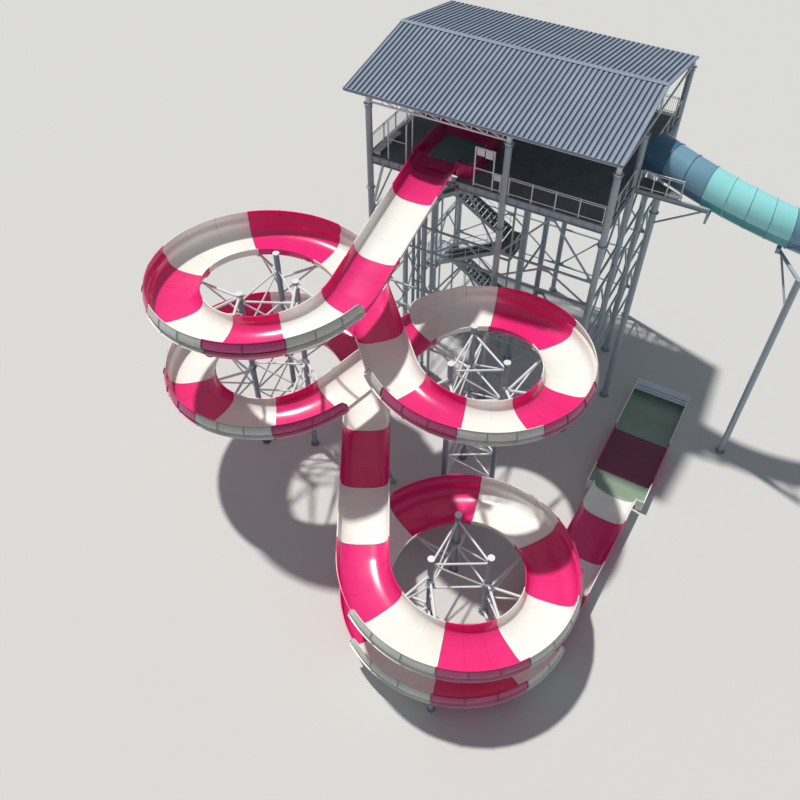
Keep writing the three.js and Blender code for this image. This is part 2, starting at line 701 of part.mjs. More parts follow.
function buildBarriers() {
  const [a, b, c] = [[1200, 0], [2320, 0], [2150, 1000]];
  const left = [
    tallPost(...a, 18140), tallPost(...b, 18200), tallPost(...c, 18200),
    bar([...a, 17080], [...b, 17080], 50), bar([...b, 18170], [...c, 18170], 50),
  ];
  add('barrier_left', fuse(left), STEEL);
  const [x0, x1, x2] = [6420, 7500, TOWER_X[1] - COLUMN_R - 60];
  const right = [
    tallPost(x0, 0, 18140), tallPost(x1, 0, 18140), tallPost(x2, 0, 16940),
    bar([x0, 0, 18110], [x1, 0, 18110], 60), bar([x0, 0, 16900], [x2, 0, 16900], 50),
    bar([x0, 0, 16000], [x2, 0, 16000], 50), bar([x0, 0, 17500], [x1, 0, 17500], 40),
  ];
  add('barrier_right', fuse(right), STEEL);
}

// Low slatted step at the left end of the deck
function buildStep() {
  const z = [DECK_TOP + 150, DECK_TOP + 200];
  const slats = [200, 345, 490].map((x) => block([x, x + 125], [20, 2560], z));
  const feet = [100, 1250, 2400].map((y) => block([210, 600], [y, y + 80], [DECK_TOP + GAP, DECK_TOP + 160]));
  add('slatted_step', fuse([...slats, ...feet]), PALE_GELCOAT);
}

// Three water risers, clamped to the front frame and closed by the tub's underside
function buildRisers() {
  const top = DECK_TOP - DECK_T - GAP;
  const pipes = RISER_X.map((x) => upright(x, RISER_Y, 0, top, RISER_R));
  const solids = [...pipes];
  for (const z of [12100, 7300, 2500]) {
    solids.push(bar([RISER_X[0], RISER_Y, z], [RISER_X.at(-1), RISER_Y, z], 80));
    solids.push(bar([RISER_X[1], RAIL_W / 2 + GAP, z], [RISER_X[1], RISER_Y, z], 80));
  }
  add('water_risers', fuse(solids), STEEL);
}

// Masts: three braced posts inside each coil, with an arm and an upright fin under every joint

function armSolids(posts, station) {
  const outward = leftOf(station.heading).multiplyScalar(-station.turn);
  const end = station.plan.clone().addScaledVector(outward, ARM_PAST);
  const distance = ([x, y]) => Math.hypot(x - station.plan.x, y - station.plan.y);
  const post = posts.reduce((best, next) => (distance(next) < distance(best) ? next : best));
  const z = station.z - SHELL - ARM_DROP;
  const start = Math.min(z, post[2] - ARM_DROP);
  return [bar([post[0], post[1], start], [end.x, end.y, z], ARM_W), fin(station, FIN_HALF, FIN_T, z)];
}

// Upright plate across the route, its top just under the channel floor
function fin(station, half, thickness, z0, slope = 0.12) {
  const side = leftOf(station.heading);
  const top = station.z - SHELL - GAP - slope * thickness / 2;
  const a = station.plan.clone().addScaledVector(side, half);
  const b = station.plan.clone().addScaledVector(side, -half);
  const z = (z0 + top) / 2;
  return bar([a.x, a.y, z], [b.x, b.y, z], thickness, top - z0);
}

function mastFrame(posts) {
  const solids = [];
  const levels = [];
  for (let z = Math.min(...posts.map((post) => post[2])) - MAST_LEVEL_DROP; z > 1000; z -= MAST_LEVEL_PITCH) {
    levels.push(z);
  }
  posts.forEach(([x, y, top], k) => {
    const next = posts[(k + 1) % posts.length];
    solids.push(...column(x, y, top, MAST_R), upright(x, y, top - 60, top, MAST_CAP_R));
    levels.forEach((z, i) => {
      solids.push(bar([x, y, z], [next[0], next[1], z], ARM_W));
      if (i > 0) solids.push(bar([x, y, levels[i - 1]], [next[0], next[1], z], BRACE_W - 20));
    });
  });
  return solids;
}

function buildMasts() {
  for (const { name, posts, joints } of MASTS) {
    const arms = joints.flatMap(([leg, first, last]) => {
      const numbers = Array.from({ length: last - first + 1 }, (_, k) => first + k);
      return numbers.flatMap((joint) => armSolids(posts, STATIONS[stationOf(leg, joint)]));
    });
    const outer = name === OUTER_POST.mast ? outerPost() : [];
    add(name, fuse([...mastFrame(posts), ...arms, ...outer]), STEEL);
  }
}

// Short post outside the lowest turn, on the end of one of the arms
function outerPost() {
  const { leg, joint, past, top } = OUTER_POST;
  const station = STATIONS[stationOf(leg, joint)];
  const outward = leftOf(station.heading).multiplyScalar(-station.turn);
  const at = (reach) => station.plan.clone().addScaledVector(outward, reach);
  const z = station.z - SHELL - ARM_DROP;
  const [a, b] = [at(0), at(past)];
  return [...column(b.x, b.y, top, OUTER_POST.radius), bar([a.x, a.y, z], [b.x, b.y, z], ARM_W)];
}

// Trestle under the down chute and the low cradle under the exit chute

function buildTrestle() {
  const station = STATIONS[stationOf('down', 1)];
  const side = leftOf(station.heading);
  const at = (offset, z) => {
    const p = station.plan.clone().addScaledVector(side, offset);
    return [p.x, p.y, z];
  };
  const top = station.z - SHELL - 260;
  const legs = [-1, 1].flatMap((k) => [
    bar(at(k * 1500, 0), at(k * 450, top), 150),
    upright(...at(k * 1500, 0).slice(0, 2), 0, FOOT_T, 260),
  ]);
  const solids = [
    ...legs, bar(at(-900, top), at(900, top), ARM_W),
    bar(at(-1150, 1400), at(1150, 1400), BRACE_W), fin(station, 800, FIN_T, top - 40, 0.04),
  ];
  add('chute_trestle', fuse(solids), STEEL);
}

function buildExitCradle() {
  const ends = [1, 3].map((joint) => STATIONS[stationOf('exit', joint)]);
  const [a, b] = ends.map(({ plan }) => [plan.x, plan.y, 60]);
  const solids = [bar(a, b, 240, 120), ...ends.map((station) => fin(station, 800, 120, 0, 0.02))];
  add('exit_cradle', fuse(solids), STEEL);
}

// Stair: three storeys of two flights in side by side lanes, with a frame that holds the landings

const RISE = DECK_TOP / FLIGHTS;

// Side view of a flight that climbs towards +x from (x0, z0); foot is how far it hangs below z0
function flightOutline(x0, x1, z0, foot) {
  const riser = RISE / RISERS;
  const tread = (x1 - x0) / (RISERS - 1);
  const outline = [];
  for (let k = 0; k < RISERS - 1; k += 1) {
    outline.push([x0 + k * tread, z0 + (k + 1) * riser], [x0 + (k + 1) * tread, z0 + (k + 1) * riser]);
  }
  outline.push([x1, z0 + RISE - riser - FLIGHT_T]);
  if (foot > 0) outline.push([x0, z0 - foot]);
  else outline.push([x0 + 300, z0], [x0, z0]);
  return outline;
}

function buildStair() {
  const [x0, x1] = STAIR_X;
  const mirrorX = (outline) => outline.map(([x, z]) => [x0 + x1 - x, z]).reverse();
  for (let storey = 0; storey < FLIGHTS / 2; storey += 1) {
    const z0 = storey * 2 * RISE;
    const up = flightOutline(x0 + GAP, x1 + 10, z0, storey ? LANDING_T : 0);
    const back = mirrorX(flightOutline(x0 - 10, x1 - GAP, z0 + RISE, LANDING_T));
    const solids = [
      extrudedAlongY(up, ...LANE_A), extrudedAlongY(back, ...LANE_B),
      block([x1, x1 + LANDING_L], [LANE_A[0], LANE_B[1]], [z0 + RISE - LANDING_T, z0 + RISE]),
    ];
    add(`stair_storey_${storey + 1}`, fuse(solids), GRATING);
  }
}

function buildStairFrame() {
  const [x0, x1] = STAIR_X;
  const rows = [LANE_A[0] - 60, LANE_B[1] + 60];
  const top = DECK_TOP - DECK_T - GAP;
  const lines = [x0 - LANDING_L + 50, x0 - 60, x1 + 60, x1 + LANDING_L - 50];
  const solids = rows.flatMap((y) => lines.map((x) => block([x - 50, x + 50], [y - 50, y + 50], [0, top])));
  for (let level = 1; level < FLIGHTS; level += 1) {
    const z = level * RISE;
    const [a, b] = level % 2 ? lines.slice(2) : lines.slice(0, 2);
    const bearerTop = level % 2 ? z - LANDING_T - GAP : z - LANDING_T + 10;
    for (const y of rows) solids.push(block([a, b], [y - 50, y + 70], [bearerTop - 120, bearerTop]));
    for (const x of [a, b]) solids.push(block([x - 50, x + 50], rows, [bearerTop - 120, bearerTop]));
    if (level % 2 === 0) {
      solids.push(block([x0 - LANDING_L, x0], [LANE_A[0], LANE_B[1]], [z - LANDING_T, z]));
    }
  }
  for (const y of rows) solids.push(block([lines[0], lines[3]], [y - 50, y + 50], [top - 150, top]));
  for (const x of [lines[0], lines[3]]) solids.push(block([x - 50, x + 50], rows, [top - 150, top]));
  add('stair_frame', fuse(solids), STEEL);
}

// Tube slide: straight bays that turn and steepen a little at each joint, from its mouth at the
// deck's edge

function layTube() {
  const joints = [new THREE.Vector3(...TUBE_START)];
  for (let k = 0; k < TUBE_BAYS; k += 1) {
    const plan = ahead(radians(TUBE_HEADING + TUBE_TURN * k));
    const way = new THREE.Vector3(plan.x, plan.y, -TUBE_SLOPE - TUBE_STEEPER * k).normalize();
    joints.push(joints.at(-1).clone().addScaledVector(way, TUBE_BAY));
  }
  return joints;
}

const TUBE_JOINTS = layTube();

// Point of the tube's axis over a place along X
function tubeAxis(x) {
  const k = TUBE_JOINTS.findIndex((joint) => joint.x > x);
  const [a, b] = [TUBE_JOINTS[k - 1], TUBE_JOINTS[k]];
  return a.clone().lerp(b, (x - a.x) / (b.x - a.x));
}

function tubeRun(radius, first, last, past) {
  const stations = TUBE_JOINTS.slice(first, last + 1).map(({ x, y, z }, k) => {
    const heading = radians(TUBE_HEADING + TUBE_TURN * (first + k - 0.5));
    return { plan: new THREE.Vector2(x, y), z, heading };
  });
  stations[0].plan.addScaledVector(ahead(stations[0].heading), -past);
  stations.at(-1).plan.addScaledVector(ahead(stations.at(-1).heading), past);
  const circle = Array.from({ length: TUBE_SIDES }, (_, k) => {
    const angle = 2 * Math.PI * k / TUBE_SIDES;
    return new THREE.Vector2(radius * Math.cos(angle), radius * Math.sin(angle));
  });
  const options = { steps: stations.length - 1, extrudePath: new UprightRoute(stations) };
  return toSolid(new THREE.ExtrudeGeometry(new THREE.Shape(circle), options));
}

function tubeBays(first, last) {
  const bore = tubeRun(TUBE_R - TUBE_WALL, first, last, 10);
  return toGeometry(tubeRun(TUBE_R, first, last, -GAP / 2).subtract(bore));
}

function buildTube() {
  add('tube_upper', tubeBays(0, TUBE_SPLIT), TUBE_SHELL);
  add('tube_lower', tubeBays(TUBE_SPLIT, TUBE_BAYS), TUBE_SHELL);
}

// Post beside the tube with an arm, a strut and a flat saddle under the shell
function buildTubeSupport() {
  const axis = tubeAxis(TUBE_SUPPORT_X);
  const saddleTop = tubeAxis(TUBE_SUPPORT_X + 150).z - TUBE_R - GAP;
  const [px, py] = TUBE_POST;
  const armZ = saddleTop - 330;
  const solids = [
    ...column(px, py, armZ + 100),
    bar([px, py, armZ], [axis.x, axis.y, armZ], 200),
    bar([px, py, armZ - 2000], [axis.x + 150, axis.y - 200, armZ], BRACE_W),
    block([axis.x - 150, axis.x + 150], [axis.y - 450, axis.y + 450], [armZ, saddleTop]),
  ];
  add('tube_support', fuse(solids), STEEL);
}

// Balcony beside the tube: plate, edge beam that runs on to a cradle under the tube, column and strut
function buildBalcony() {
  const [x0, x1] = BALCONY_X;
  const [y0, y1] = BALCONY_Y;
  const plate = new THREE.Shape([
    [x0, y0], [x1, y0], [x1, y1], [15000, 5150], [x0, 5250],
  ].map(([x, y]) => new THREE.Vector2(x, y)));
  const plateSolid = new THREE.ExtrudeGeometry(plate, { depth: 80, bevelEnabled: false });
  plateSolid.translate(0, 0, DECK_TOP - 80);
  const beamZ = [DECK_TOP - 330, DECK_TOP - 70];
  const cradleTop = tubeAxis(CRADLE_X + 60).z - TUBE_R - GAP;
  const cradleY = tubeAxis(CRADLE_X).y;
  const [cx, cy] = BALCONY_COLUMN;
  const [rail0, rail1] = [[x0 + 60, y0 + 40], [x1 - 60, y0 + 40]];
  const solids = [
    plateSolid, ...column(cx, cy, DECK_TOP - 300, BALCONY_COLUMN_R),
    block([TOWER_X[2] + COLUMN_FACE + GAP, CRADLE_X + 60], [y0, y0 + 150], beamZ),
    block([CRADLE_X - 60, CRADLE_X + 60], [y0, cradleY + 500], [cradleTop - 200, cradleTop]),
    block([CRADLE_X - 60, CRADLE_X + 60], [y0, y0 + 150], [cradleTop - 200, beamZ[1]]),
    bar([cx + 100, y0 + 100, 14010], [17780, y0 + 100, DECK_TOP - 300], BRACE_W),
    ...railing(rail0, rail1, 4, DECK_TOP - 10, RAILING_H + 10),
  ];
  add('balcony', fuse(solids), STEEL);
}

buildSlide();
buildTub();
buildLane();
buildFrontFrame();
buildBackFrame();
buildSideFrame('left_frame', TOWER_X[0], [DECK_TOP - DECK_T - GAP, DECK_TOP - DECK_T - GAP]);
buildSideFrame('right_frame', TOWER_X[2], [COLUMN_TOP, DECK_TOP - DECK_T - GAP]);
buildInnerFrame();
buildDeck();
buildRoof();
buildRoofFrame();
buildRailings();
buildBarriers();
buildStep();
buildRisers();
buildMasts();
buildTrestle();
buildExitCradle();
buildStair();
buildStairFrame();
buildTube();
buildTubeSupport();
buildBalcony();

export default part;
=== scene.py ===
"""Water slide tower: the dressed model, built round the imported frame.

Metres, +Z up, in the frame of the CAD: the origin lies on the ground under the tower's front left
column, the front runs along +X and faces -Y. Every piece is modelled at its place.
"""

import logging
import math
from dataclasses import dataclass, field
from enum import Enum, IntEnum
from typing import Callable, Iterable, Sequence

import bpy
from mathutils import Matrix, Vector


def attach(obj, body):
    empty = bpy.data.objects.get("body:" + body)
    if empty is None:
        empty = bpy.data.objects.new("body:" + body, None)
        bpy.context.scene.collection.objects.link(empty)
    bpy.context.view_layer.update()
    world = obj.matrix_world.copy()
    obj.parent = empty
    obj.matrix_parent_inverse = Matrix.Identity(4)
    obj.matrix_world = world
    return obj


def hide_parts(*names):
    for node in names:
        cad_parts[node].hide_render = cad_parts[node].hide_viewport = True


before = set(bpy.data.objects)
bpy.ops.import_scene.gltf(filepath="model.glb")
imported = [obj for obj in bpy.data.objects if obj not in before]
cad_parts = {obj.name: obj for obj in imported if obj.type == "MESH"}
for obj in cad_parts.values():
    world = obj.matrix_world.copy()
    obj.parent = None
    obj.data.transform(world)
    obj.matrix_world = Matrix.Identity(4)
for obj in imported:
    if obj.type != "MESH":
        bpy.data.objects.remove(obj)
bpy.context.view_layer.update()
BODY = "root"
SHARP_EDGE = 35.0  # degrees; sharper edges stay sharp
LOG = logging.getLogger("water_slide_tower")

Colour = tuple[float, float, float]
Point = tuple[float, float, float]
Plan = tuple[float, float]
Piece = bpy.types.Object


# Finishes


class Slot(Enum):
    """Names of the material slots."""

    MAGENTA = "gelcoat_magenta"
    WHITE = "gelcoat_white"
    STEEL = "steel"
    ROOFING = "roofing"
    GRATING = "grating"
    TUBE = "tube_shell"


class Axis(IntEnum):
    """Axes that a prism can run along."""

    X = 0
    Y = 1
    Z = 2


def add_noise(
    made: bpy.types.Material, source: bpy.types.Node, scale: float, detail: float,
    rough: float = 0.55, output: str = "Vector",
) -> bpy.types.Node:
    """Add a noise texture.

    Args:
        made: The material.
        source: The node that gives the coordinates.
        scale: Cells per metre.
        detail: Octaves.
        rough: Strength of the finer octaves.
        output: The socket of source to read.

    Returns:
        The noise node.
    """
    noise = made.node_tree.nodes.new("ShaderNodeTexNoise")
    noise.inputs["Scale"].default_value = scale
    noise.inputs["Detail"].default_value = detail
    noise.inputs["Roughness"].default_value = rough
    made.node_tree.links.new(source.outputs[output], noise.inputs["Vector"])
    return noise


def add_ramp(
    made: bpy.types.Material, source: bpy.types.Node, low: float, high: float, top: float = 1.0,
) -> bpy.types.Node:
    """Turn a noise value into a mask that rises from 0 at low to top at high.

    Args:
        made: The material.
        source: The noise node.
        low: Value where the mask starts.
        high: Value where the mask is full.
        top: Value of the full mask.

    Returns:
        The map range node.
    """
    spread = made.node_tree.nodes.new("ShaderNodeMapRange")
    spread.interpolation_type = "SMOOTHSTEP"
    spread.inputs["From Min"].default_value = low
    spread.inputs["From Max"].default_value = high
    spread.inputs["To Max"].default_value = top
    made.node_tree.links.new(source.outputs["Fac"], spread.inputs["Value"])
    return spread


def add_bump(made: bpy.types.Material, noise: bpy.types.Node, strength: float, distance: float) -> None:
    """Let a noise texture raise the surface.

    Args:
        made: The material.
        noise: The noise node.
        strength: Share of the effect.
        distance: Height of the relief in metres.
    """
    nodes, links = made.node_tree.nodes, made.node_tree.links
    relief = nodes.new("ShaderNodeBump")
    relief.inputs["Strength"].default_value = strength
    relief.inputs["Distance"].default_value = distance
    links.new(noise.outputs["Fac"], relief.inputs["Height"])
    links.new(relief.outputs["Normal"], nodes["Principled BSDF"].inputs["Normal"])


@dataclass(frozen=True)
class Finish:
    """One finish: its colour and how it is mottled, stained, rippled and polished."""

    name: str
    colour: Colour
    shade: Colour
    roughness: float = 0.35
    metallic: float = 0.0
    coat: float = 0.0
    mottle_scale: float = 0.6
    mottle: float = 0.5
    stain: Colour = (0.25, 0.23, 0.2)
    stain_amount: float = 0.0
    stain_scale: float = 1.3
    bump_scale: float = 40.0
    bump: float = 0.0
    rough_spread: float = 0.08
    streaks: bool = False

    def build(self) -> bpy.types.Material:
        """Make the node material.

        Returns:
            The material, made once and then found by its name.
        """
        found = bpy.data.materials.get(self.name)
        if found:
            return found
        made = bpy.data.materials.new(self.name)
        made.use_nodes = True
        nodes, links = made.node_tree.nodes, made.node_tree.links
        shader = nodes["Principled BSDF"]
        shader.inputs["Metallic"].default_value = self.metallic
        shader.inputs["Coat Weight"].default_value = self.coat
        shader.inputs["Coat Roughness"].default_value = 0.08
        place = nodes.new("ShaderNodeTexCoord")
        stretch = nodes.new("ShaderNodeMapping")
        stretch.inputs["Scale"].default_value = (1.0, 1.0, 0.18) if self.streaks else (1.0, 1.0, 1.0)
        links.new(place.outputs["Object"], stretch.inputs["Vector"])
        cloud = add_noise(made, stretch, self.mottle_scale, 5.0)
        blend = nodes.new("ShaderNodeMix")
        blend.data_type = "RGBA"
        blend.inputs["A"].default_value = (*self.colour, 1.0)
        blend.inputs["B"].default_value = (*self.shade, 1.0)
        ramp = add_ramp(made, cloud, 0.5 - 0.25 * self.mottle, 0.5 + 0.35)
        links.new(ramp.outputs["Result"], blend.inputs["Factor"])
        top = blend
        if self.stain_amount > 0.0:
            dirt = add_noise(made, stretch, self.stain_scale, 9.0, 0.72)
            mask = add_ramp(made, dirt, 0.56, 0.86, self.stain_amount)
            top = nodes.new("ShaderNodeMix")
            top.data_type = "RGBA"
            links.new(mask.outputs["Result"], top.inputs["Factor"])
            links.new(blend.outputs["Result"], top.inputs["A"])
            top.inputs["B"].default_value = (*self.stain, 1.0)
        links.new(top.outputs["Result"], shader.inputs["Base Color"])
        gloss = add_noise(made, stretch, self.mottle_scale * 3.1, 4.0)
        polish = nodes.new("ShaderNodeMapRange")
        polish.inputs["To Min"].default_value = max(0.02, self.roughness - self.rough_spread)
        polish.inputs["To Max"].default_value = self.roughness + self.rough_spread
        links.new(gloss.outputs["Fac"], polish.inputs["Value"])
        links.new(polish.outputs["Result"], shader.inputs["Roughness"])
        if self.bump > 0.0:
            grain = add_noise(made, place, self.bump_scale, 3.0, output="Object")
            add_bump(made, grain, self.bump, 0.01)
        return made


MAGENTA = Finish(
    "magenta_gelcoat", (0.86, 0.03, 0.215), (0.78, 0.022, 0.175), roughness=0.2, coat=0.35,
    mottle_scale=0.35, stain=(0.45, 0.03, 0.11), stain_amount=0.25, stain_scale=0.9, rough_spread=0.06,
)
# Darker magenta for the launch basin and its trough: painted shade of the roof over the basin.
BASIN_MAGENTA_SHADE = Finish(
    "basin_magenta_painted_shade", (0.56, 0.02, 0.12), (0.47, 0.016, 0.095), roughness=0.25, coat=0.3,
    mottle_scale=0.35, stain=(0.25, 0.02, 0.07), stain_amount=0.3, stain_scale=0.9, rough_spread=0.06,
)
# Darker copy of the magenta for the high walls' outer faces and ribs: painted shade of the sides facing away
# from the light.
MAGENTA_BACK_SHADE = Finish(
    "magenta_back_painted_shade", (0.52, 0.045, 0.2), (0.42, 0.035, 0.16), roughness=0.26, coat=0.3,
    mottle_scale=0.6, stain=(0.2, 0.03, 0.05), stain_amount=0.4, stain_scale=1.4,
)
# Pale magenta for the rim flange under the magenta high walls: painted highlight of light on the flange's
# top.
MAGENTA_RIM_HIGHLIGHT = Finish("magenta_rim_painted_highlight", (0.94, 0.52, 0.60), (0.84, 0.44, 0.52), roughness=0.35)
# Dark lip strips on the outer side of the high walls: painted shadow. The magenta one also colours the seams
# between magenta panels.
MAGENTA_SHADOW_AND_SEAM = Finish("magenta_lip_shadow_and_seam", (0.13, 0.012, 0.045), (0.09, 0.01, 0.03), roughness=0.4)
WHITE_EDGE = Finish("white_shadow_edge", (0.24, 0.24, 0.22), (0.18, 0.18, 0.17), roughness=0.4)
WHITE = Finish(
    "white_gelcoat", (0.92, 0.925, 0.875), (0.84, 0.845, 0.785), roughness=0.24, coat=0.3,
    mottle_scale=0.35, stain=(0.50, 0.48, 0.40), stain_amount=0.35, stain_scale=0.8, rough_spread=0.07,
)
# Grey copy of the white for the high walls' outer faces and ribs: painted shade of the sides facing away from
# the light. It also colours the seams between white panels.
WHITE_SHADE_AND_SEAM = Finish(
    "white_back_painted_shade_and_seam", (0.62, 0.63, 0.58), (0.50, 0.52, 0.48), roughness=0.28, coat=0.3,
    mottle_scale=0.6, stain=(0.22, 0.22, 0.2), stain_amount=0.45, stain_scale=1.4,
)
WET_WHITE = Finish(
    "wet_white_floor", (0.38, 0.50, 0.38), (0.30, 0.41, 0.31), roughness=0.12, coat=0.6,
    mottle_scale=0.5, stain=(0.13, 0.15, 0.11), stain_amount=0.5, stain_scale=0.9,
)
WET_MAGENTA = Finish(
    "wet_magenta_floor", (0.31, 0.022, 0.10), (0.25, 0.018, 0.08), roughness=0.12, coat=0.6,
    mottle_scale=0.5, stain=(0.08, 0.03, 0.04), stain_amount=0.5, stain_scale=0.9,
)
STEEL = Finish(
    "grey_paint", (0.385, 0.475, 0.52), (0.30, 0.375, 0.415), roughness=0.45, metallic=0.1,
    mottle_scale=0.8, stain=(0.12, 0.12, 0.115), stain_amount=0.4, streaks=True, bump=0.15,
)
POST_STEEL = Finish(
    "blue_grey_paint", (0.27, 0.32, 0.385), (0.20, 0.24, 0.30), roughness=0.42, metallic=0.15,
    mottle_scale=0.8, stain=(0.09, 0.09, 0.09), stain_amount=0.4, streaks=True, bump=0.15,
)
PALE_STEEL = Finish(
    "white_paint", (0.79, 0.83, 0.84), (0.66, 0.70, 0.72), roughness=0.38, mottle_scale=0.9,
    stain=(0.30, 0.28, 0.25), stain_amount=0.45, streaks=True, bump=0.12,
)
ZINC = Finish(
    "galvanised", (0.42, 0.45, 0.48), (0.30, 0.33, 0.36), roughness=0.45, metallic=0.55,
    mottle_scale=6.0, stain=(0.16, 0.15, 0.14), stain_amount=0.3,
)
ROOF = Finish(
    "slate_blue_sheet", (0.235, 0.295, 0.385), (0.29, 0.355, 0.445), roughness=0.55,
    mottle_scale=0.45, stain=(0.13, 0.16, 0.21), stain_amount=0.5, stain_scale=0.7,
)
# Dark strips along one side and the foot of each roof rib: painted shade of the ribs.
ROOF_FOLD_SHADE = Finish(
    "roof_fold_painted_shade", (0.05, 0.07, 0.105), (0.07, 0.09, 0.13), roughness=0.7,
    mottle_scale=0.9, stain=(0.15, 0.18, 0.23), stain_amount=0.4, stain_scale=1.2,
)
RIDGE = Finish(
    "pale_flashing", (0.25, 0.31, 0.39), (0.20, 0.25, 0.32), roughness=0.5,
    stain=(0.14, 0.16, 0.18), stain_amount=0.4,
)
DECKING = Finish(
    "worn_decking", (0.175, 0.20, 0.21), (0.115, 0.135, 0.145), roughness=0.7, metallic=0.1,
    mottle_scale=1.6, stain=(0.28, 0.27, 0.25), stain_amount=0.5, bump=0.5, bump_scale=60.0,
)
AQUA = Finish(
    "aqua_gelcoat", (0.36, 0.83, 0.84), (0.31, 0.76, 0.78), roughness=0.22, coat=0.3,
    mottle_scale=0.5, stain=(0.09, 0.33, 0.37), stain_amount=0.35,
)
SLATE_BLUE = Finish(
    "slate_blue_gelcoat", (0.19, 0.38, 0.50), (0.155, 0.32, 0.43), roughness=0.26, coat=0.3,
    mottle_scale=0.5, stain=(0.25, 0.33, 0.4), stain_amount=0.35,
)
# Darker aqua for the tube's lower half: painted shade on its underside.
AQUA_UNDERSIDE_SHADE = Finish(
    "aqua_underside_painted_shade", (0.09, 0.42, 0.44), (0.07, 0.35, 0.37), roughness=0.3, coat=0.2,
    mottle_scale=0.5, stain=(0.03, 0.14, 0.16), stain_amount=0.4,
)
RIDGE_PALE = Finish("pale_slabs", (0.68, 0.76, 0.82), (0.58, 0.66, 0.72), roughness=0.5)
BAR_STEEL = Finish("grey_bars", (0.16, 0.17, 0.18), (0.12, 0.13, 0.14), roughness=0.5)
# Dark blue for the tube's first bay and the underside of the blue bays: painted shade of the roof and of the
# underside.
BLUE_PAINTED_SHADE = Finish(
    "blue_gelcoat_painted_shade", (0.075, 0.19, 0.31), (0.06, 0.155, 0.26), roughness=0.26, coat=0.3,
    mottle_scale=0.5, stain=(0.12, 0.18, 0.25), stain_amount=0.35,
)
SEALANT = Finish("dark_sealant", (0.05, 0.05, 0.055), (0.035, 0.035, 0.04), roughness=0.6)


@dataclass(frozen=True)
class Mould:
    """One colour of the moulded slide, with the finishes that go with it."""

    # back: darker finish for the high walls' outer faces and ribs, painted shade. edge: painted shadow on the
    # lip's outer side. foot: the rim flange, with a painted highlight in magenta. line: panel seams.
    face: Finish
    back: Finish
    edge: Finish
    foot: Finish
    line: Finish
    wet: Finish
    slot: Slot


IN_MAGENTA = Mould(
    MAGENTA, MAGENTA_BACK_SHADE, MAGENTA_SHADOW_AND_SEAM, MAGENTA_RIM_HIGHLIGHT, MAGENTA_SHADOW_AND_SEAM, WET_MAGENTA, Slot.MAGENTA)
IN_WHITE = Mould(WHITE, WHITE_SHADE_AND_SEAM, WHITE_EDGE, WHITE, WHITE_SHADE_AND_SEAM, WET_WHITE, Slot.WHITE)


@dataclass(frozen=True)
class WaterFinish:
    """Water with small ripples, clear and a little green; thin water shows the floor through it."""

    name: str = "still_water"
    colour: Colour = (0.15, 0.22, 0.215)
    roughness: float = 0.06
    alpha: float = 1.0
    ripple_scale: float = 2.2
    ripple: float = 0.25

    def build(self) -> bpy.types.Material:
        """Make the node material.

        Returns:
            The material, made once and then found by its name.
        """
        found = bpy.data.materials.get(self.name)
        if found:
            return found
        made = bpy.data.materials.new(self.name)
        made.use_nodes = True
        shader = made.node_tree.nodes["Principled BSDF"]
        shader.inputs["Base Color"].default_value = (*self.colour, 1.0)
        shader.inputs["Roughness"].default_value = self.roughness
        shader.inputs["IOR"].default_value = 1.33
        shader.inputs["Alpha"].default_value = self.alpha
        place = made.node_tree.nodes.new("ShaderNodeTexCoord")
        wave = add_noise(made, place, self.ripple_scale, 3.0, 0.5, "Object")
        add_bump(made, wave, self.ripple, 0.05)
        return made


WATER = WaterFinish()
SHALLOW = WaterFinish(
    "shallow_water", (0.06, 0.09, 0.08), roughness=0.08, alpha=0.16, ripple_scale=3.5, ripple=0.5,
)
AnyFinish = Finish | WaterFinish


# Workshop: small parts and the operations that shape them


def clear_selection() -> None:
    """Leave edit mode and deselect everything."""
    if bpy.context.mode != "OBJECT":
        bpy.ops.object.mode_set(mode="OBJECT")
    bpy.ops.object.select_all(action="DESELECT")


def pick(target: Piece) -> Piece:
    """Select one object alone and make it active.

    Args:
        target: The object.

    Returns:
        The same object.
    """
    clear_selection()
    target.select_set(True)
    bpy.context.view_layer.objects.active = target
    return target


def apply_modifiers(target: Piece) -> None:
    """Apply every modifier of an object, in order.

    Args:
        target: The object.
    """
    pick(target)
    for modifier in list(target.modifiers):
        bpy.ops.object.modifier_apply(modifier=modifier.name)


def settle(target: Piece) -> None:
    """Move an object's place into its mesh, so that the object sits at the origin.

    Args:
        target: The object.
    """
    pick(target)
    bpy.ops.object.transform_apply(location=True, rotation=True, scale=True)


def join(parts: Sequence[Piece]) -> Piece:
    """Join objects into the first one, with their places in the mesh.

    Args:
        parts: The objects.

    Returns:
        The joined object, at the origin.
    """
    clear_selection()
    for part in parts:
        part.select_set(True)
    bpy.context.view_layer.objects.active = parts[0]
    if len(parts) > 1:
        bpy.ops.object.join()
    joined = bpy.context.view_layer.objects.active
    settle(joined)
    return joined


def copy_of(master: Piece, place: Matrix) -> Piece:
    """Copy a modelled part with a mesh of its own, set at a place.

    Args:
        master: The part to copy.
        place: Where the copy goes.

    Returns:
        The copy.
    """
    made = master.copy()
    made.data = master.data.copy()
    made.data.transform(place)
    bpy.context.scene.collection.objects.link(made)
    return made


def paint(target: Piece, finish: AnyFinish) -> Piece:
    """Give an object one finish all over.

    Args:
        target: The object.
        finish: The finish.

    Returns:
        The same object.
    """
    target.data.materials.clear()
    target.data.materials.append(finish.build())
    return target


def paint_all(parts: Iterable[Piece], finish: AnyFinish) -> list[Piece]:
    """Give several objects the same finish, and return them."""
    return [paint(part, finish) for part in parts]


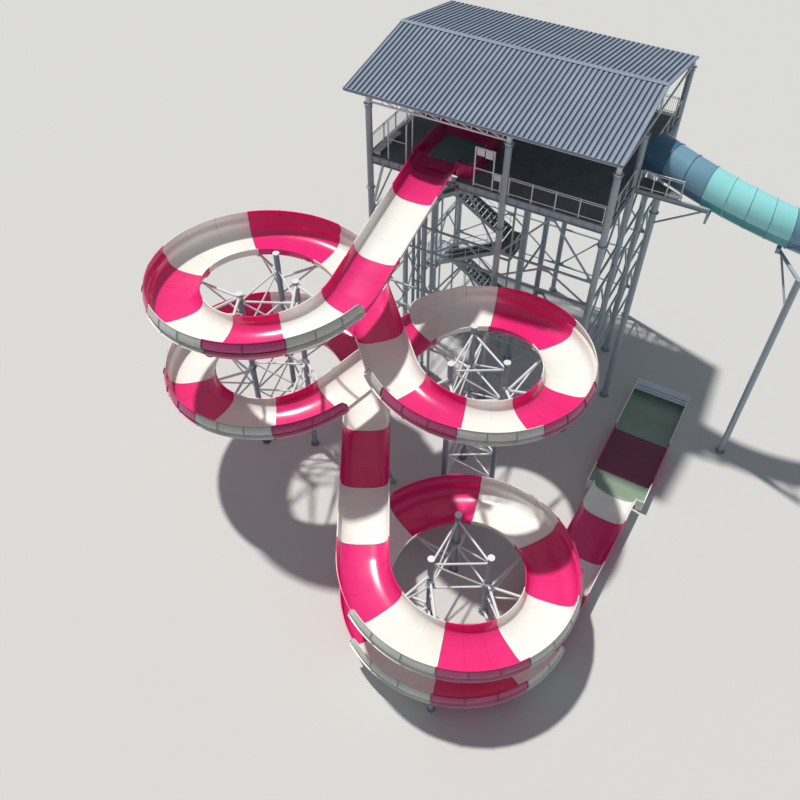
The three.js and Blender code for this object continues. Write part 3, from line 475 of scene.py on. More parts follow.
def hand_over(target: Piece, name: str, slot: Slot | None, nodes: Sequence[str] = ()) -> Piece:
    """Name a finished piece, smooth it, and let it ride on the part.

    Args:
        target: The piece.
        name: Its name.
        slot: Not used.
        nodes: The CAD nodes that it stands for.

    Returns:
        The piece.
    """
    settle(target)
    bpy.ops.object.shade_smooth_by_angle(angle=math.radians(SHARP_EDGE))
    target.name = name
    target.data.name = name
    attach(target, BODY)
    if nodes:
        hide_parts(*nodes)
    LOG.info("%s: %d faces", name, len(target.data.polygons))
    return target


def add_cylinder(sides: int, radius: float, depth: float, middle: float) -> None:
    """Add an upright cylinder on the Z axis, with a flat face at each end."""
    bpy.ops.mesh.primitive_cylinder_add(
        vertices=sides, radius=radius, depth=depth, location=(0.0, 0.0, middle), end_fill_type="NGON")


class Masters:
    """Small parts that are modelled once, at unit size, and copied wherever they repeat."""

    def __init__(self) -> None:
        """Start with nothing modelled."""
        self._made: dict[str, Piece] = {}

    def rod(self, sides: int) -> Piece:
        """A round rod of radius 1 from z = 0 to z = 1.

        Args:
            sides: Number of sides.

        Returns:
            The hidden master.
        """
        key = f"rod_{sides}"
        if key not in self._made:
            clear_selection()
            add_cylinder(sides, 1.0, 1.0, 0.5)
            self._keep(key)
        return self._made[key]

    def box(self) -> Piece:
        """A box of side 1 about its middle.

        Returns:
            The hidden master.
        """
        if "box" not in self._made:
            clear_selection()
            bpy.ops.mesh.primitive_cube_add(size=1.0, location=(0.0, 0.0, 0.0))
            self._keep("box")
        return self._made["box"]

    def bolt(self) -> Piece:
        """A hexagon nut with its bolt end, radius 1, standing on z = 0.

        Returns:
            The hidden master.
        """
        if "bolt" not in self._made:
            clear_selection()
            add_cylinder(6, 1.0, 0.8, 0.4)
            nut = bpy.context.object
            add_cylinder(8, 0.5, 0.6, 1.05)
            join([nut, bpy.context.view_layer.objects.active])
            self._keep("bolt")
        return self._made["bolt"]

    def _keep(self, key: str) -> None:
        """Take the active object out of the scene and keep it as a master.

        Args:
            key: Its name in the store.
        """
        made = bpy.context.view_layer.objects.active
        settle(made)
        made.name = f"master_{key}"
        for collection in list(made.users_collection):
            collection.objects.unlink(made)
        self._made[key] = made

    def clear(self) -> None:
        """Remove all masters."""
        for made in self._made.values():
            bpy.data.objects.remove(made, do_unlink=True)
        self._made.clear()


MASTERS = Masters()


def turned_to(direction: Vector, up: Vector | None = None) -> Matrix:
    """A rotation that points local Z along a direction, with local Y as near to up as it can be.

    Args:
        direction: The direction.
        up: The direction that Y leans to, straight up if left out.

    Returns:
        The 4 by 4 rotation.
    """
    z = direction.normalized()
    hint = up or Vector((0.0, 0.0, 1.0))
    if abs(z.dot(hint)) > 0.999:
        hint = Vector((0.0, 1.0, 0.0))
    x = hint.cross(z).normalized()
    y = z.cross(x)
    return Matrix(((x.x, y.x, z.x), (x.y, y.y, z.y), (x.z, y.z, z.z))).to_4x4()


def round_bar(a: Sequence[float], b: Sequence[float], radius: float, sides: int = 12) -> Piece:
    """A round bar between two points.

    Args:
        a: First point.
        b: Second point.
        radius: Its radius.
        sides: Number of sides.

    Returns:
        The bar.
    """
    start, end = Vector(a), Vector(b)
    along = end - start
    size = Matrix.Diagonal((radius, radius, along.length, 1.0))
    return copy_of(MASTERS.rod(sides), Matrix.Translation(start) @ turned_to(along) @ size)


def flat_bar(
    a: Sequence[float], b: Sequence[float], width: float, height: float, up: Vector | None = None,
) -> Piece:
    """A bar with a rectangular section between two points.

    Args:
        a: First point.
        b: Second point.
        width: Size across.
        height: Size towards up.
        up: The direction of its height.

    Returns:
        The bar.
    """
    start, end = Vector(a), Vector(b)
    along = end - start
    size = Matrix.Diagonal((width, height, along.length, 1.0))
    return copy_of(MASTERS.box(), Matrix.Translation((start + end) / 2) @ turned_to(along, up) @ size)


def block(x: Sequence[float], y: Sequence[float], z: Sequence[float]) -> Piece:
    """An upright block between two corners.

    Args:
        x: Range along X.
        y: Range along Y.
        z: Range along Z.

    Returns:
        The block.
    """
    middle = Vector(((x[0] + x[1]) / 2, (y[0] + y[1]) / 2, (z[0] + z[1]) / 2))
    size = Matrix.Diagonal((x[1] - x[0], y[1] - y[0], z[1] - z[0], 1.0))
    return copy_of(MASTERS.box(), Matrix.Translation(middle) @ size)


def disc(centre: Sequence[float], axis: Vector, radius: float, thick: float, sides: int = 24) -> Piece:
    """A round plate that starts at a point and grows along an axis.

    Args:
        centre: Middle of its first face.
        axis: The direction of its thickness.
        radius: Its radius.
        thick: Its thickness.
        sides: Number of sides.

    Returns:
        The plate.
    """
    start = Vector(centre)
    return round_bar(start, start + axis.normalized() * thick, radius, sides)


def bolts_round(
    centre: Sequence[float], axis: Vector, ring: float, count: int, size: float = 0.018,
) -> list[Piece]:
    """Bolts on a circle, standing out along an axis.

    Args:
        centre: Middle of the circle.
        axis: The direction that they stand out in.
        ring: Radius of the circle.
        count: How many.
        size: Radius of a nut.

    Returns:
        The bolts.
    """
    turn = turned_to(axis)
    size_matrix = Matrix.Diagonal((size, size, size, 1.0))
    made = []
    for k in range(count):
        angle = 2 * math.pi * (k + 0.5) / count
        offset = turn @ Vector((ring * math.cos(angle), ring * math.sin(angle), 0.0))
        made.append(copy_of(MASTERS.bolt(), Matrix.Translation(Vector(centre) + offset) @ turn @ size_matrix))
    return made


def shaped_grid(across: int, along: int, place: Callable[[float, float], Vector]) -> Piece:
    """Add a grid and move each of its points to its place on a curved sheet.

    Args:
        across: Cells across.
        along: Cells along.
        place: Gives a point for a share of the width and a share of the length, both 0 to 1.

    Returns:
        The sheet.
    """
    clear_selection()
    bpy.ops.mesh.primitive_grid_add(x_subdivisions=across, y_subdivisions=along, size=1.0, location=(0, 0, 0))
    sheet = bpy.context.object
    for vertex in sheet.data.vertices:
        vertex.co = place(vertex.co.x + 0.5, vertex.co.y + 0.5)
    return sheet


def thicken(target: Piece, thick: float, offset: float = -1.0) -> None:
    """Give a sheet its thickness.

    Args:
        target: The sheet.
        thick: The thickness.
        offset: Side that it grows to, -1 against the normal and 1 along it.
    """
    wall = target.modifiers.new("wall", "SOLIDIFY")
    wall.thickness = thick
    wall.offset = offset
    wall.use_even_offset = True
    apply_modifiers(target)


def close_tube(sheet: Piece) -> None:
    """Weld a sheet that is rolled into a tube, close its ends and turn its faces out.

    Args:
        sheet: The sheet.
    """
    pick(sheet)
    bpy.ops.object.mode_set(mode="EDIT")
    bpy.ops.mesh.select_all(action="SELECT")
    bpy.ops.mesh.remove_doubles(threshold=1e-5)
    bpy.ops.mesh.fill_holes(sides=0)
    bpy.ops.mesh.normals_make_consistent(inside=False)
    bpy.ops.object.mode_set(mode="OBJECT")


def carve(target: Piece, cutter: Piece) -> None:
    """Cut one object out of another.

    Args:
        target: The object that stays.
        cutter: The object that is cut away and removed.
    """
    cut = target.modifiers.new("cut", "BOOLEAN")
    cut.operation = "DIFFERENCE"
    cut.solver = "EXACT"
    cut.object = cutter
    apply_modifiers(target)
    bpy.data.objects.remove(cutter, do_unlink=True)


def prism(axis: Axis, outline: Sequence[Plan], low: float, high: float) -> Piece:
    """Extrude an outline along an axis.

    Args:
        axis: The axis.
        outline: Its corners, by their places on the other two axes, in order.
        low: First end.
        high: Last end.

    Returns:
        The prism.
    """
    count = len(outline)

    def place(u: float, v: float) -> Vector:
        """Point of the prism.

        Args:
            u: Share of the way across.
            v: Share of the way along.

        Returns:
            The point.
        """
        corner = list(outline[round(u * count) % count])
        corner.insert(axis, low + (high - low) * v)
        return Vector(corner)

    made = shaped_grid(count, 1, place)
    close_tube(made)
    return made


# Route of the slide


@dataclass(frozen=True)
class Station:
    """A place on the route: plan place, floor height and heading."""

    x: float
    y: float
    z: float
    heading: float

    def point(self, left: float, up: float) -> Vector:
        """A point of the section at this station.

        Args:
            left: Distance left of the centreline.
            up: Height over the channel floor.

        Returns:
            The point.
        """
        return self.level(left, self.z + up)

    def level(self, left: float, z: float) -> Vector:
        """A point beside the centreline, at a height over the ground."""
        return Vector((self.x - math.sin(self.heading) * left, self.y + math.cos(self.heading) * left, z))

    def ahead(self) -> Vector:
        """Level direction of travel."""
        return Vector((math.cos(self.heading), math.sin(self.heading), 0.0))


@dataclass(frozen=True)
class Leg:
    """One straight or one coil of the route; heights are pairs of distance and floor height."""

    name: str
    length: float
    start: Plan
    heading: float
    heights: tuple[Plan, ...]
    turn: int = 0
    radius: float = 0.0
    centre: Plan = (0.0, 0.0)

    def floor(self, s: float) -> float:
        """Floor height at a distance along the leg.

        Args:
            s: The distance.

        Returns:
            The height.
        """
        k = 1
        while k < len(self.heights) - 1 and self.heights[k][0] < s - 1e-6:
            k += 1
        (s0, z0), (s1, z1) = self.heights[k - 1], self.heights[k]
        return z0 + (z1 - z0) * (s - s0) / (s1 - s0)

    def at(self, s: float) -> Station:
        """The station at a distance along the leg.

        Args:
            s: The distance.

        Returns:
            The station.
        """
        if not self.turn:
            x = self.start[0] + math.cos(self.heading) * s
            y = self.start[1] + math.sin(self.heading) * s
            return Station(x, y, self.floor(s), self.heading)
        now = self.heading + self.turn * s / self.radius
        x = self.centre[0] + math.sin(now) * self.turn * self.radius
        y = self.centre[1] - math.cos(now) * self.turn * self.radius
        return Station(x, y, self.floor(s), now)


@dataclass
class Route:
    """The slide's centreline, with the joints between its moulded sections."""

    start: Plan = (3.871, 0.4)
    start_heading: float = math.radians(-86.45)
    coil_1_y: float = -9.14
    radii: tuple[float, ...] = (4.93, 4.75, 4.93, 4.81)
    coil_2: Plan = (10.24, -6.5)
    coil_3: Plan = (-0.52, -9.61)
    coil_4: Plan = (13.48, -14.57)
    exit_heading: float = math.radians(87.9)
    exit_length: float = 10.95
    joints: dict[str, tuple[float, ...]] = field(default_factory=lambda: {
        "chute": (2.6, 7.05),
        "coil1": (1.06, 4.34, 7.47, 10.82, 15.02, 19.47, 23.74),
        "cross1": (0.0, 3.39),
        "coil2": (1.74, 5.07, 8.34, 11.8, 15.82, 19.89, 24.07),
        "cross2": (2.6,),
        "coil3": (0.5, 3.72, 7.14, 10.7, 14.6, 18.5, 22.4, 26.3),
        "down": (3.0, 6.88, 10.36),
        "coil4": (2.99, 6.47, 9.98, 13.5, 17.39, 21.35, 25.6, 29.2, 32.7, 36.6, 40.4),
        "exit": (0.0, 3.65, 5.95, 9.1),
    })
    legs: list[Leg] = field(default_factory=list)
    starts: dict[str, float] = field(default_factory=dict)

    def __post_init__(self) -> None:
        """Lay the legs one after another."""
        h0 = self.start_heading
        first = (self.coil_1_y - self.start[1]) / math.sin(h0)
        touch = (self.start[0] + math.cos(h0) * first, self.start[1] + math.sin(h0) * first)
        r1, r2, r3, r4 = self.radii
        coil_1 = (touch[0] + math.sin(h0) * r1, touch[1] - math.cos(h0) * r1)
        to2 = self._tangent(coil_1, r1, -1, self.coil_2, r2, 1)
        to3 = self._tangent(self.coil_2, r2, 1, self.coil_3, r3, -1)
        to4 = self._tangent(self.coil_3, r3, -1, self.coil_4, r4, 1)
        a1 = self._angle(h0, to2[0], -1) * r1
        a2 = self._angle(to2[0], to3[0], 1) * r2
        a3 = self._angle(to3[0], to4[0], -1) * r3
        turn4 = 2 * math.pi * r4
        a4 = self._angle(to4[0], self.exit_heading, 1) * r4
        coil_4 = Leg(
            "coil4", turn4 + a4, self.coil_4, to4[0],
            ((0.0, 4.61), (turn4, 1.14), (turn4 + a4, 0.52)), 1, r4, self.coil_4)
        end = coil_4.at(turn4 + a4)
        self.legs = [
            Leg("chute", first, self.start, h0, ((0.0, 15.72), (first, 13.92))),
            Leg("coil1", a1, coil_1, h0, ((0.0, 13.92), (a1, 11.1)), -1, r1, coil_1),
            Leg("cross1", to2[2], to2[1], to2[0], ((0.0, 11.1), (to2[2], 10.63))),
            Leg("coil2", a2, self.coil_2, to2[0], ((0.0, 10.63), (a2, 8.21)), 1, r2, self.coil_2),
            Leg("cross2", to3[2], to3[1], to3[0], ((0.0, 8.21), (to3[2], 8.08))),
            Leg("coil3", a3, self.coil_3, to3[0], ((0.0, 8.08), (a3, 4.98)), -1, r3, self.coil_3),
            Leg("down", to4[2], to4[1], to4[0], ((0.0, 4.98), (to4[2], 4.61))),
            coil_4,
            Leg("exit", self.exit_length, (end.x, end.y), self.exit_heading,
                ((0.0, 0.52), (self.exit_length, 0.38))),
        ]
        total = 0.0
        for leg in self.legs:
            self.starts[leg.name] = total
            total += leg.length
        self.length = total

    @staticmethod
    def _tangent(
        c1: Plan, r1: float, turn1: int, c2: Plan, r2: float, turn2: int,
    ) -> tuple[float, Plan, float]:
        """The straight that leaves one coil and joins the next.

        Args:
            c1: Centre of the first coil.
            r1: Its radius.
            turn1: 1 if it winds to the left, -1 to the right.
            c2: Centre of the second coil.
            r2: Its radius.
            turn2: Its hand.

        Returns:
            Heading, first point and length.
        """
        dx, dy = c2[0] - c1[0], c2[1] - c1[1]
        heading = math.atan2(dy, dx) - math.asin((turn2 * r2 - turn1 * r1) / math.hypot(dx, dy))
        a = (c1[0] + math.sin(heading) * turn1 * r1, c1[1] - math.cos(heading) * turn1 * r1)
        b = (c2[0] + math.sin(heading) * turn2 * r2, c2[1] - math.cos(heading) * turn2 * r2)
        return heading, a, math.hypot(b[0] - a[0], b[1] - a[1])

    @staticmethod
    def _angle(a: float, b: float, turn: int) -> float:
        """Angle turned from one heading to another with a coil's hand."""
        return ((b - a) * turn) % (2 * math.pi)

    def at(self, distance: float) -> Station:
        """The station at a distance from the launch.

        Args:
            distance: The distance.

        Returns:
            The station.
        """
        for leg in self.legs[:-1]:
            if distance < self.starts[leg.name] + leg.length:
                return leg.at(distance - self.starts[leg.name])
        return self.legs[-1].at(distance - self.starts["exit"])

    def joint(self, leg: str, distance: float) -> float:
        """Distance from the launch of a place on a leg."""
        return self.starts[leg] + distance

    def breaks(self) -> list[float]:
        """Distances of all section joints, with both ends of the slide."""
        inner = [self.starts[leg] + s for leg, marks in self.joints.items() for s in marks]
        return [0.0, *inner, self.length]


# Open slide


@dataclass
class SlideSection:
    """One moulded section of the open channel, between two joints."""

    route: Route
    start: float
    end: float
    mould: Mould
    step: float = 0.16
    cells_across: int = 36
    half_floor: float = 1.275
    wall: float = 0.77
    bluntness: float = 2.8
    shell: float = 0.022
    rim: float = 0.055
    lip: float = 0.035
    gap: float = 0.004
    seam_width: float = 0.02
    panel_seam: float = 0.009
    panel_length: float = 1.35

    def profile(self, share: float) -> Plan:
        """Inner line of the section, from the right rim over the floor to the left rim.

        Args:
            share: Place along the line, 0 to 1.

        Returns:
            Distance left of the centreline and height over the floor.
        """
        lip = self.lip
        if share < lip:
            return -self.half_floor - self.rim * (1.0 - share / lip), self.wall
        if share > 1.0 - lip:
            return self.half_floor + self.rim * (1.0 - (1.0 - share) / lip), self.wall
        angle = math.pi * (share - lip) / (1.0 - 2.0 * lip)
        power = 2.0 / self.bluntness
        left = -math.copysign(abs(math.cos(angle)) ** power, math.cos(angle)) * self.half_floor
        return left, self.wall * (1.0 - math.sin(angle) ** power)

    def build(self) -> Piece:
        """Model the section: sheet, thickness, rolled rims and the joint flanges beneath.

        Returns:
            The section.
        """
        length = self.end - self.start - self.gap
        along = max(2, round(length / self.step))

        def place(u: float, v: float) -> Vector:
            """Point of the sheet."""
            station = self.route.at(self.start + self.gap / 2 + length * v)
            return station.point(*self.profile(1.0 - u))

        sheet = shaped_grid(self.cells_across, along, place)
        thicken(sheet, self.shell)
        parts = [sheet, *self.rims(), *self.flanges()]
        paint_all(parts, self.mould.face)
        parts.append(paint(self.seam(self.start, self.seam_width), SEALANT))
        count = round(length / self.panel_length)
        for k in range(1, count):
            joint = self.seam(self.start + length * k / count, self.panel_seam)
            parts.append(paint(joint, self.mould.line))
        return join(parts)

    def outside(self, share: float, out: float) -> Plan:
        """Point outside the section's line, square to it.

        Args:
            share: Place along the line, 0 to 1.
            out: Distance from the line.

        Returns:
            Distance left of the centreline and height over the floor.
        """
        a, b = self.profile(share - 0.004), self.profile(share + 0.004)
        left, up = self.profile(share)
        run, rise = b[0] - a[0], b[1] - a[1]
        size = math.hypot(run, rise) or 1.0
        return left + rise / size * out, up - run / size * out

    def rims(self) -> list[Piece]:
        """Rolled rims along both walls.

        Returns:
            The two rims.
        """
        made = []
        for side in (-1, 1):
            a, b = self.half_floor + 0.002, self.half_floor + self.rim
            up = self.wall
            line = [(a, up - 0.03), (b, up - 0.035), (b + 0.006, up - 0.012), (b - 0.008, up + 0.014),
                    (a + 0.014, up + 0.016), (a - 0.004, up + 0.002)]
            section = [(side * x, z) for x, z in line]
            low, high = self.start + self.gap / 2, self.end - self.gap / 2
            made.append(swept(self.route, section, low, high, self.step))
        return made

    def flanges(self) -> list[Piece]:
        """Upturned joint flanges round the outside of both ends.

        Returns:
            The flanges.
        """
        made = []
        for middle in (self.start + 0.012, self.end - 0.012):
            def place(u: float, v: float, at: float = middle) -> Vector:
                """Point of the flange."""
                line = self.outside(0.11 + 0.78 * (1.0 - u), self.shell * 0.5 + 0.062 * v)
                return self.route.at(at).point(*line)

            flange = shaped_grid(28, 1, place)
            thicken(flange, 0.012, 0.0)
            made.append(flange)
        return made

    def seam(self, at: float, width: float) -> Piece:
        """Sealed seam, a thin line on the inner face.

        Args:
            at: Its distance from the launch.
            width: Its width.

        Returns:
            The seam.
        """
        def place(u: float, v: float) -> Vector:
            """Point of the seam."""
            left, up = self.profile(0.045 + 0.91 * (1.0 - u))
            return self.route.at(at + (v - 0.5) * width).point(left * 0.999, up + 0.0025)

        line = shaped_grid(self.cells_across, 1, place)
        thicken(line, 0.005)
        return line


def swept(route: Route, section: Sequence[Plan], start: float, end: float, step: float) -> Piece:
    """Sweep a closed section along a stretch of the route, with both ends closed.

    Args:
        route: The route.
        section: Corners, as distance left and height.
        start: Distance of its first end.
        end: Distance of its last end.
        step: Length of one cell.

    Returns:
        The strip.
    """
    count = len(section)
    cells = max(1, round((end - start) / step))

    def place(u: float, v: float) -> Vector:
        """Point of the strip."""
        return route.at(start + (end - start) * v).point(*section[round(u * count) % count])

    strip = shaped_grid(count, cells, place)
    close_tube(strip)
    return strip


@dataclass
class HighWall:
    """Raised outer wall of a coil: bulged panels on a wide rim flange, with ribs between them."""

    name: str
    route: Route
    start: float
    end: float
    side: int
    node: str
    mould_at: Callable[[float], Mould]
    base: float = 0.775
    flange: float = 1.53
    foot: float = 1.284
    root: float = 1.292
    under: float = 0.742
    bulge: float = 1.462
    lip: float = 1.315
    top: float = 1.485
    pitch: float = 1.3
    wall: float = 0.02
    ease_length: float = 0.42
    rib_depth: float = 0.045
    seal_depth: float = 0.052
    shortest: float = 0.4
    gap: float = 0.006
    step: float = 0.17
    cells_up: int = 12

    def line(self, share: float) -> Plan:
        """Middle line of the wall, from its foot to its lip.

        Args:
            share: Place on the line, 0 to 1.

        Returns:
            Distance from the centreline and height over the floor.
        """
        height = self.base + (self.top - self.base) * share
        if share < 0.4:
            k = share / 0.4
            out = self.foot + (self.bulge - self.foot) * k * k * (3.0 - 2.0 * k)
        else:
            k = (share - 0.4) / 0.6
            out = self.bulge + (self.lip - self.bulge) * (1.0 - math.cos(k * math.pi / 2))
        return out, height

    def ease(self, distance: float) -> float:
        """Share of the full height at a distance, so that the ends are rounded.

        Args:
            distance: Distance from the launch.

        Returns:
            The share.
        """
        run = min(distance - self.start, self.end - distance)
        if run >= self.ease_length:
            return 1.0
        k = 1.0 - max(0.0, run) / self.ease_length
        return 0.35 + 0.65 * math.sqrt(max(0.0, 1.0 - k * k))

    def eased(self, up: float, at: float) -> float:
        """Height over the floor at a distance, lower towards the rounded ends."""
        return self.base + (up - self.base) * self.ease(at)

    def along(self, a: float, b: float, share: float) -> float:
        """Distance at a share of the panel from a to b, inside its end gaps."""
        return a + self.gap + (b - a - 2 * self.gap) * share

    def joints(self) -> list[float]:
        """Distances of the panels' ends: the section joints, and ribs between them.

        Returns:
            The distances.
        """
        low, high = self.start + self.shortest, self.end - self.shortest
        marks = [self.start, *(mark for mark in self.route.breaks() if low < mark < high), self.end]
        full = [marks[0]]
        for a, b in zip(marks, marks[1:]):
            count = max(1, round((b - a) / self.pitch))
            full += [a + (b - a) * k / count for k in range(1, count + 1)]
        return full

    def panel(self, a: float, b: float) -> Piece:
        """One bulged panel.

        Args:
            a: Distance of its first end.
            b: Distance of its last end.

        Returns:
            The panel.
        """
        def place(u: float, v: float) -> Vector:
            """Point of the panel.

            Args:
                u: Share of the way across.
                v: Share of the way along.

            Returns:
                The point.
            """
            at = self.along(a, b, v)
            out, up = self.line(u)
            return self.route.at(at).point(self.side * out, self.eased(up, at))

        panel = shaped_grid(self.cells_up, max(3, round((b - a) / self.step)), place)
        thicken(panel, self.wall, 0.0)
        middle = (a + b) / 2
        mould = self.mould_at(middle)
        # The panel's outer side takes the darker back finish: painted shade.
        return self.two_tone(panel, mould.face, mould.back, middle)

    def two_tone(self, piece: Piece, inner: Finish, outer: Finish, at: float) -> Piece:
        """Give a piece one finish towards the channel and a darker one, painted shade, on its outer side.

        Args:
            piece: The piece.
            inner: Finish of the side towards the channel, and of the top.
            outer: Finish of the outer side, darker to paint its shade.
            at: Distance of the piece's middle from the launch.

        Returns:
            The piece.
        """
        paint(piece, inner)
        piece.data.materials.append(outer.build())
        middle = self.route.at(at)
        out = (middle.point(self.side, 0.0) - middle.point(0.0, 0.0)).normalized()
        for face in piece.data.polygons:
            face.material_index = 1 if face.normal.dot(out) > 0.15 else 0
        return piece

    def upright(self, at: float, depth: float) -> Piece:
        """Upright flange or gasket on the outer side, where two panels meet.

        Args:
            at: Its distance.
            depth: How far it stands out.

        Returns:
            The upright.
        """
        def place(u: float, v: float) -> Vector:
            """Point of the upright."""
            out, up = self.line(u)
            return self.route.at(at).point(self.side * (out + depth * v + 0.004), self.eased(up, at))

        made = shaped_grid(self.cells_up, 1, place)
        thicken(made, 0.02, 0.0)
        return made

    def flange_strip(self, a: float, b: float) -> list[Piece]:
        """Rim flange that the wall stands on, and the wall's rolled lip.

        Args:
            a: Distance of the first end.
            b: Distance of the last end.

        Returns:
            The strips.
        """
        s = self.side
        root, edge, under = self.root, self.flange, self.under
        base = [(s * root, under), (s * edge, under), (s * (edge + 0.006), 0.758),
                (s * (edge - 0.006), 0.772), (s * root, 0.784)]
        foot = swept(self.route, base, a + 0.004, b - 0.004, self.step)
        roll = ((-0.02, -0.03), (0.03, -0.03), (0.034, 0.0), (0.02, 0.012), (-0.014, 0.012), (-0.024, 0.0))

        def lip_place(u: float, v: float) -> Vector:
            """Point of the lip.

            Args:
                u: Share of the way across.
                v: Share of the way along.

            Returns:
                The point.
            """
            at = self.along(a, b, v)
            dx, dz = roll[round(u * len(roll)) % len(roll)]
            return self.route.at(at).point(s * (self.lip + dx), self.eased(self.top, at) + dz)

        lip = shaped_grid(len(roll), max(3, round((b - a) / self.step)), lip_place)
        close_tube(lip)
        middle = (a + b) / 2
        mould = self.mould_at(middle)
        # The flange takes the foot finish, in magenta a painted highlight; the lip's outer side takes the
        # edge finish, a painted shadow.
        return [paint(foot, mould.foot), self.two_tone(lip, mould.face, mould.edge, middle)]

    def build(self) -> Piece:
        """Model the whole wall.

        Returns:
            The wall as a finished piece.
        """
        parts = []
        marks = self.joints()
        for a, b in zip(marks, marks[1:]):
            parts += [self.panel(a, b), *self.flange_strip(a, b)]
            uprights = [self.upright(at, self.rib_depth) for at in (b - 0.02, a + 0.02)]
            # Ribs take the darker back finish: painted shade of their outer faces.
            parts += paint_all(uprights, self.mould_at((a + b) / 2).back)
        parts += paint_all([self.upright(at, self.seal_depth) for at in marks[1:-1]], SEALANT)
        return hand_over(join(parts), self.name, Slot.MAGENTA, [self.node])


@dataclass
class OpenSlide:
    """The open raft slide: its sections, from the launch to the run-out lane, and high walls."""

    route: Route
    runs: tuple[tuple[str, tuple[str, float], tuple[str, float]], ...] = (
        ("entry_chute", ("chute", 0.0), ("coil1", 1.06)),
        ("coil_1_front", ("coil1", 1.06), ("coil1", 10.82)),
        ("coil_1_back", ("coil1", 10.82), ("cross1", 0.0)),
        ("crossover_1", ("cross1", 0.0), ("coil2", 1.74)),
        ("coil_2_front", ("coil2", 1.74), ("coil2", 11.8)),
        ("coil_2_back", ("coil2", 11.8), ("coil2", 24.07)),
        ("crossover_2", ("coil2", 24.07), ("coil3", 0.5)),
        ("coil_3_front", ("coil3", 0.5), ("coil3", 10.7)),
        ("coil_3_back", ("coil3", 10.7), ("coil3", 26.3)),
        ("down_chute", ("coil3", 26.3), ("down", 10.36)),
        ("coil_4_front", ("down", 10.36), ("coil4", 9.98)),
        ("coil_4_back", ("coil4", 9.98), ("coil4", 25.6)),
        ("coil_4_low_left", ("coil4", 25.6), ("coil4", 36.6)),
        ("coil_4_low_right", ("coil4", 36.6), ("exit", 0.0)),
        ("exit_chute", ("exit", 0.0), ("exit", 10.95)),
    )
    walls: tuple[tuple[str, str, tuple[str, float], tuple[str, float], int], ...] = (
        ("wall_1", "high_wall_1", ("coil1", 1.06), ("coil1", 25.3), 1),
        ("wall_2", "high_wall_2", ("coil2", 0.45), ("coil2", 24.07), -1),
        ("wall_3", "high_wall_3", ("coil3", 0.5), ("coil3", 22.4), 1),
        ("wall_4_upper", "high_wall_4_upper", ("coil4", 2.6), ("coil4", 25.6), -1),
        ("wall_4_lower", "high_wall_4_lower", ("coil4", 32.7), ("exit", 0.0), -1),
    )

    def mould_at(self, distance: float) -> Mould:
        """Colour of the section at a distance: the two colours take turns.

        Args:
            distance: Distance from the launch.

        Returns:
            The colour.
        """
        marks = self.route.breaks()
        index = sum(1 for mark in marks[1:-1] if mark <= distance)
        return IN_WHITE if index % 2 else IN_MAGENTA

    def build(self) -> None:
        """Model every section and every high wall."""
        marks = self.route.breaks()
        for name, first, last in self.runs:
            a, b = self.route.joint(*first), self.route.joint(*last)
            inner = [mark for mark in marks if a + 1e-3 < mark < b - 1e-3]
            stops = [a, *inner, b]
            for k, (low, high) in enumerate(zip(stops, stops[1:]), start=1):
                mould = self.mould_at((low + high) / 2)
                section = SlideSection(self.route, low, high, mould).build()
                hand_over(section, f"{name}_section_{k}", mould.slot, [name])
        for name, node, first, last, side in self.walls:
            a, b = self.route.joint(*first), self.route.joint(*last)
            HighWall(name, self.route, a, b, side, node, self.mould_at).build()


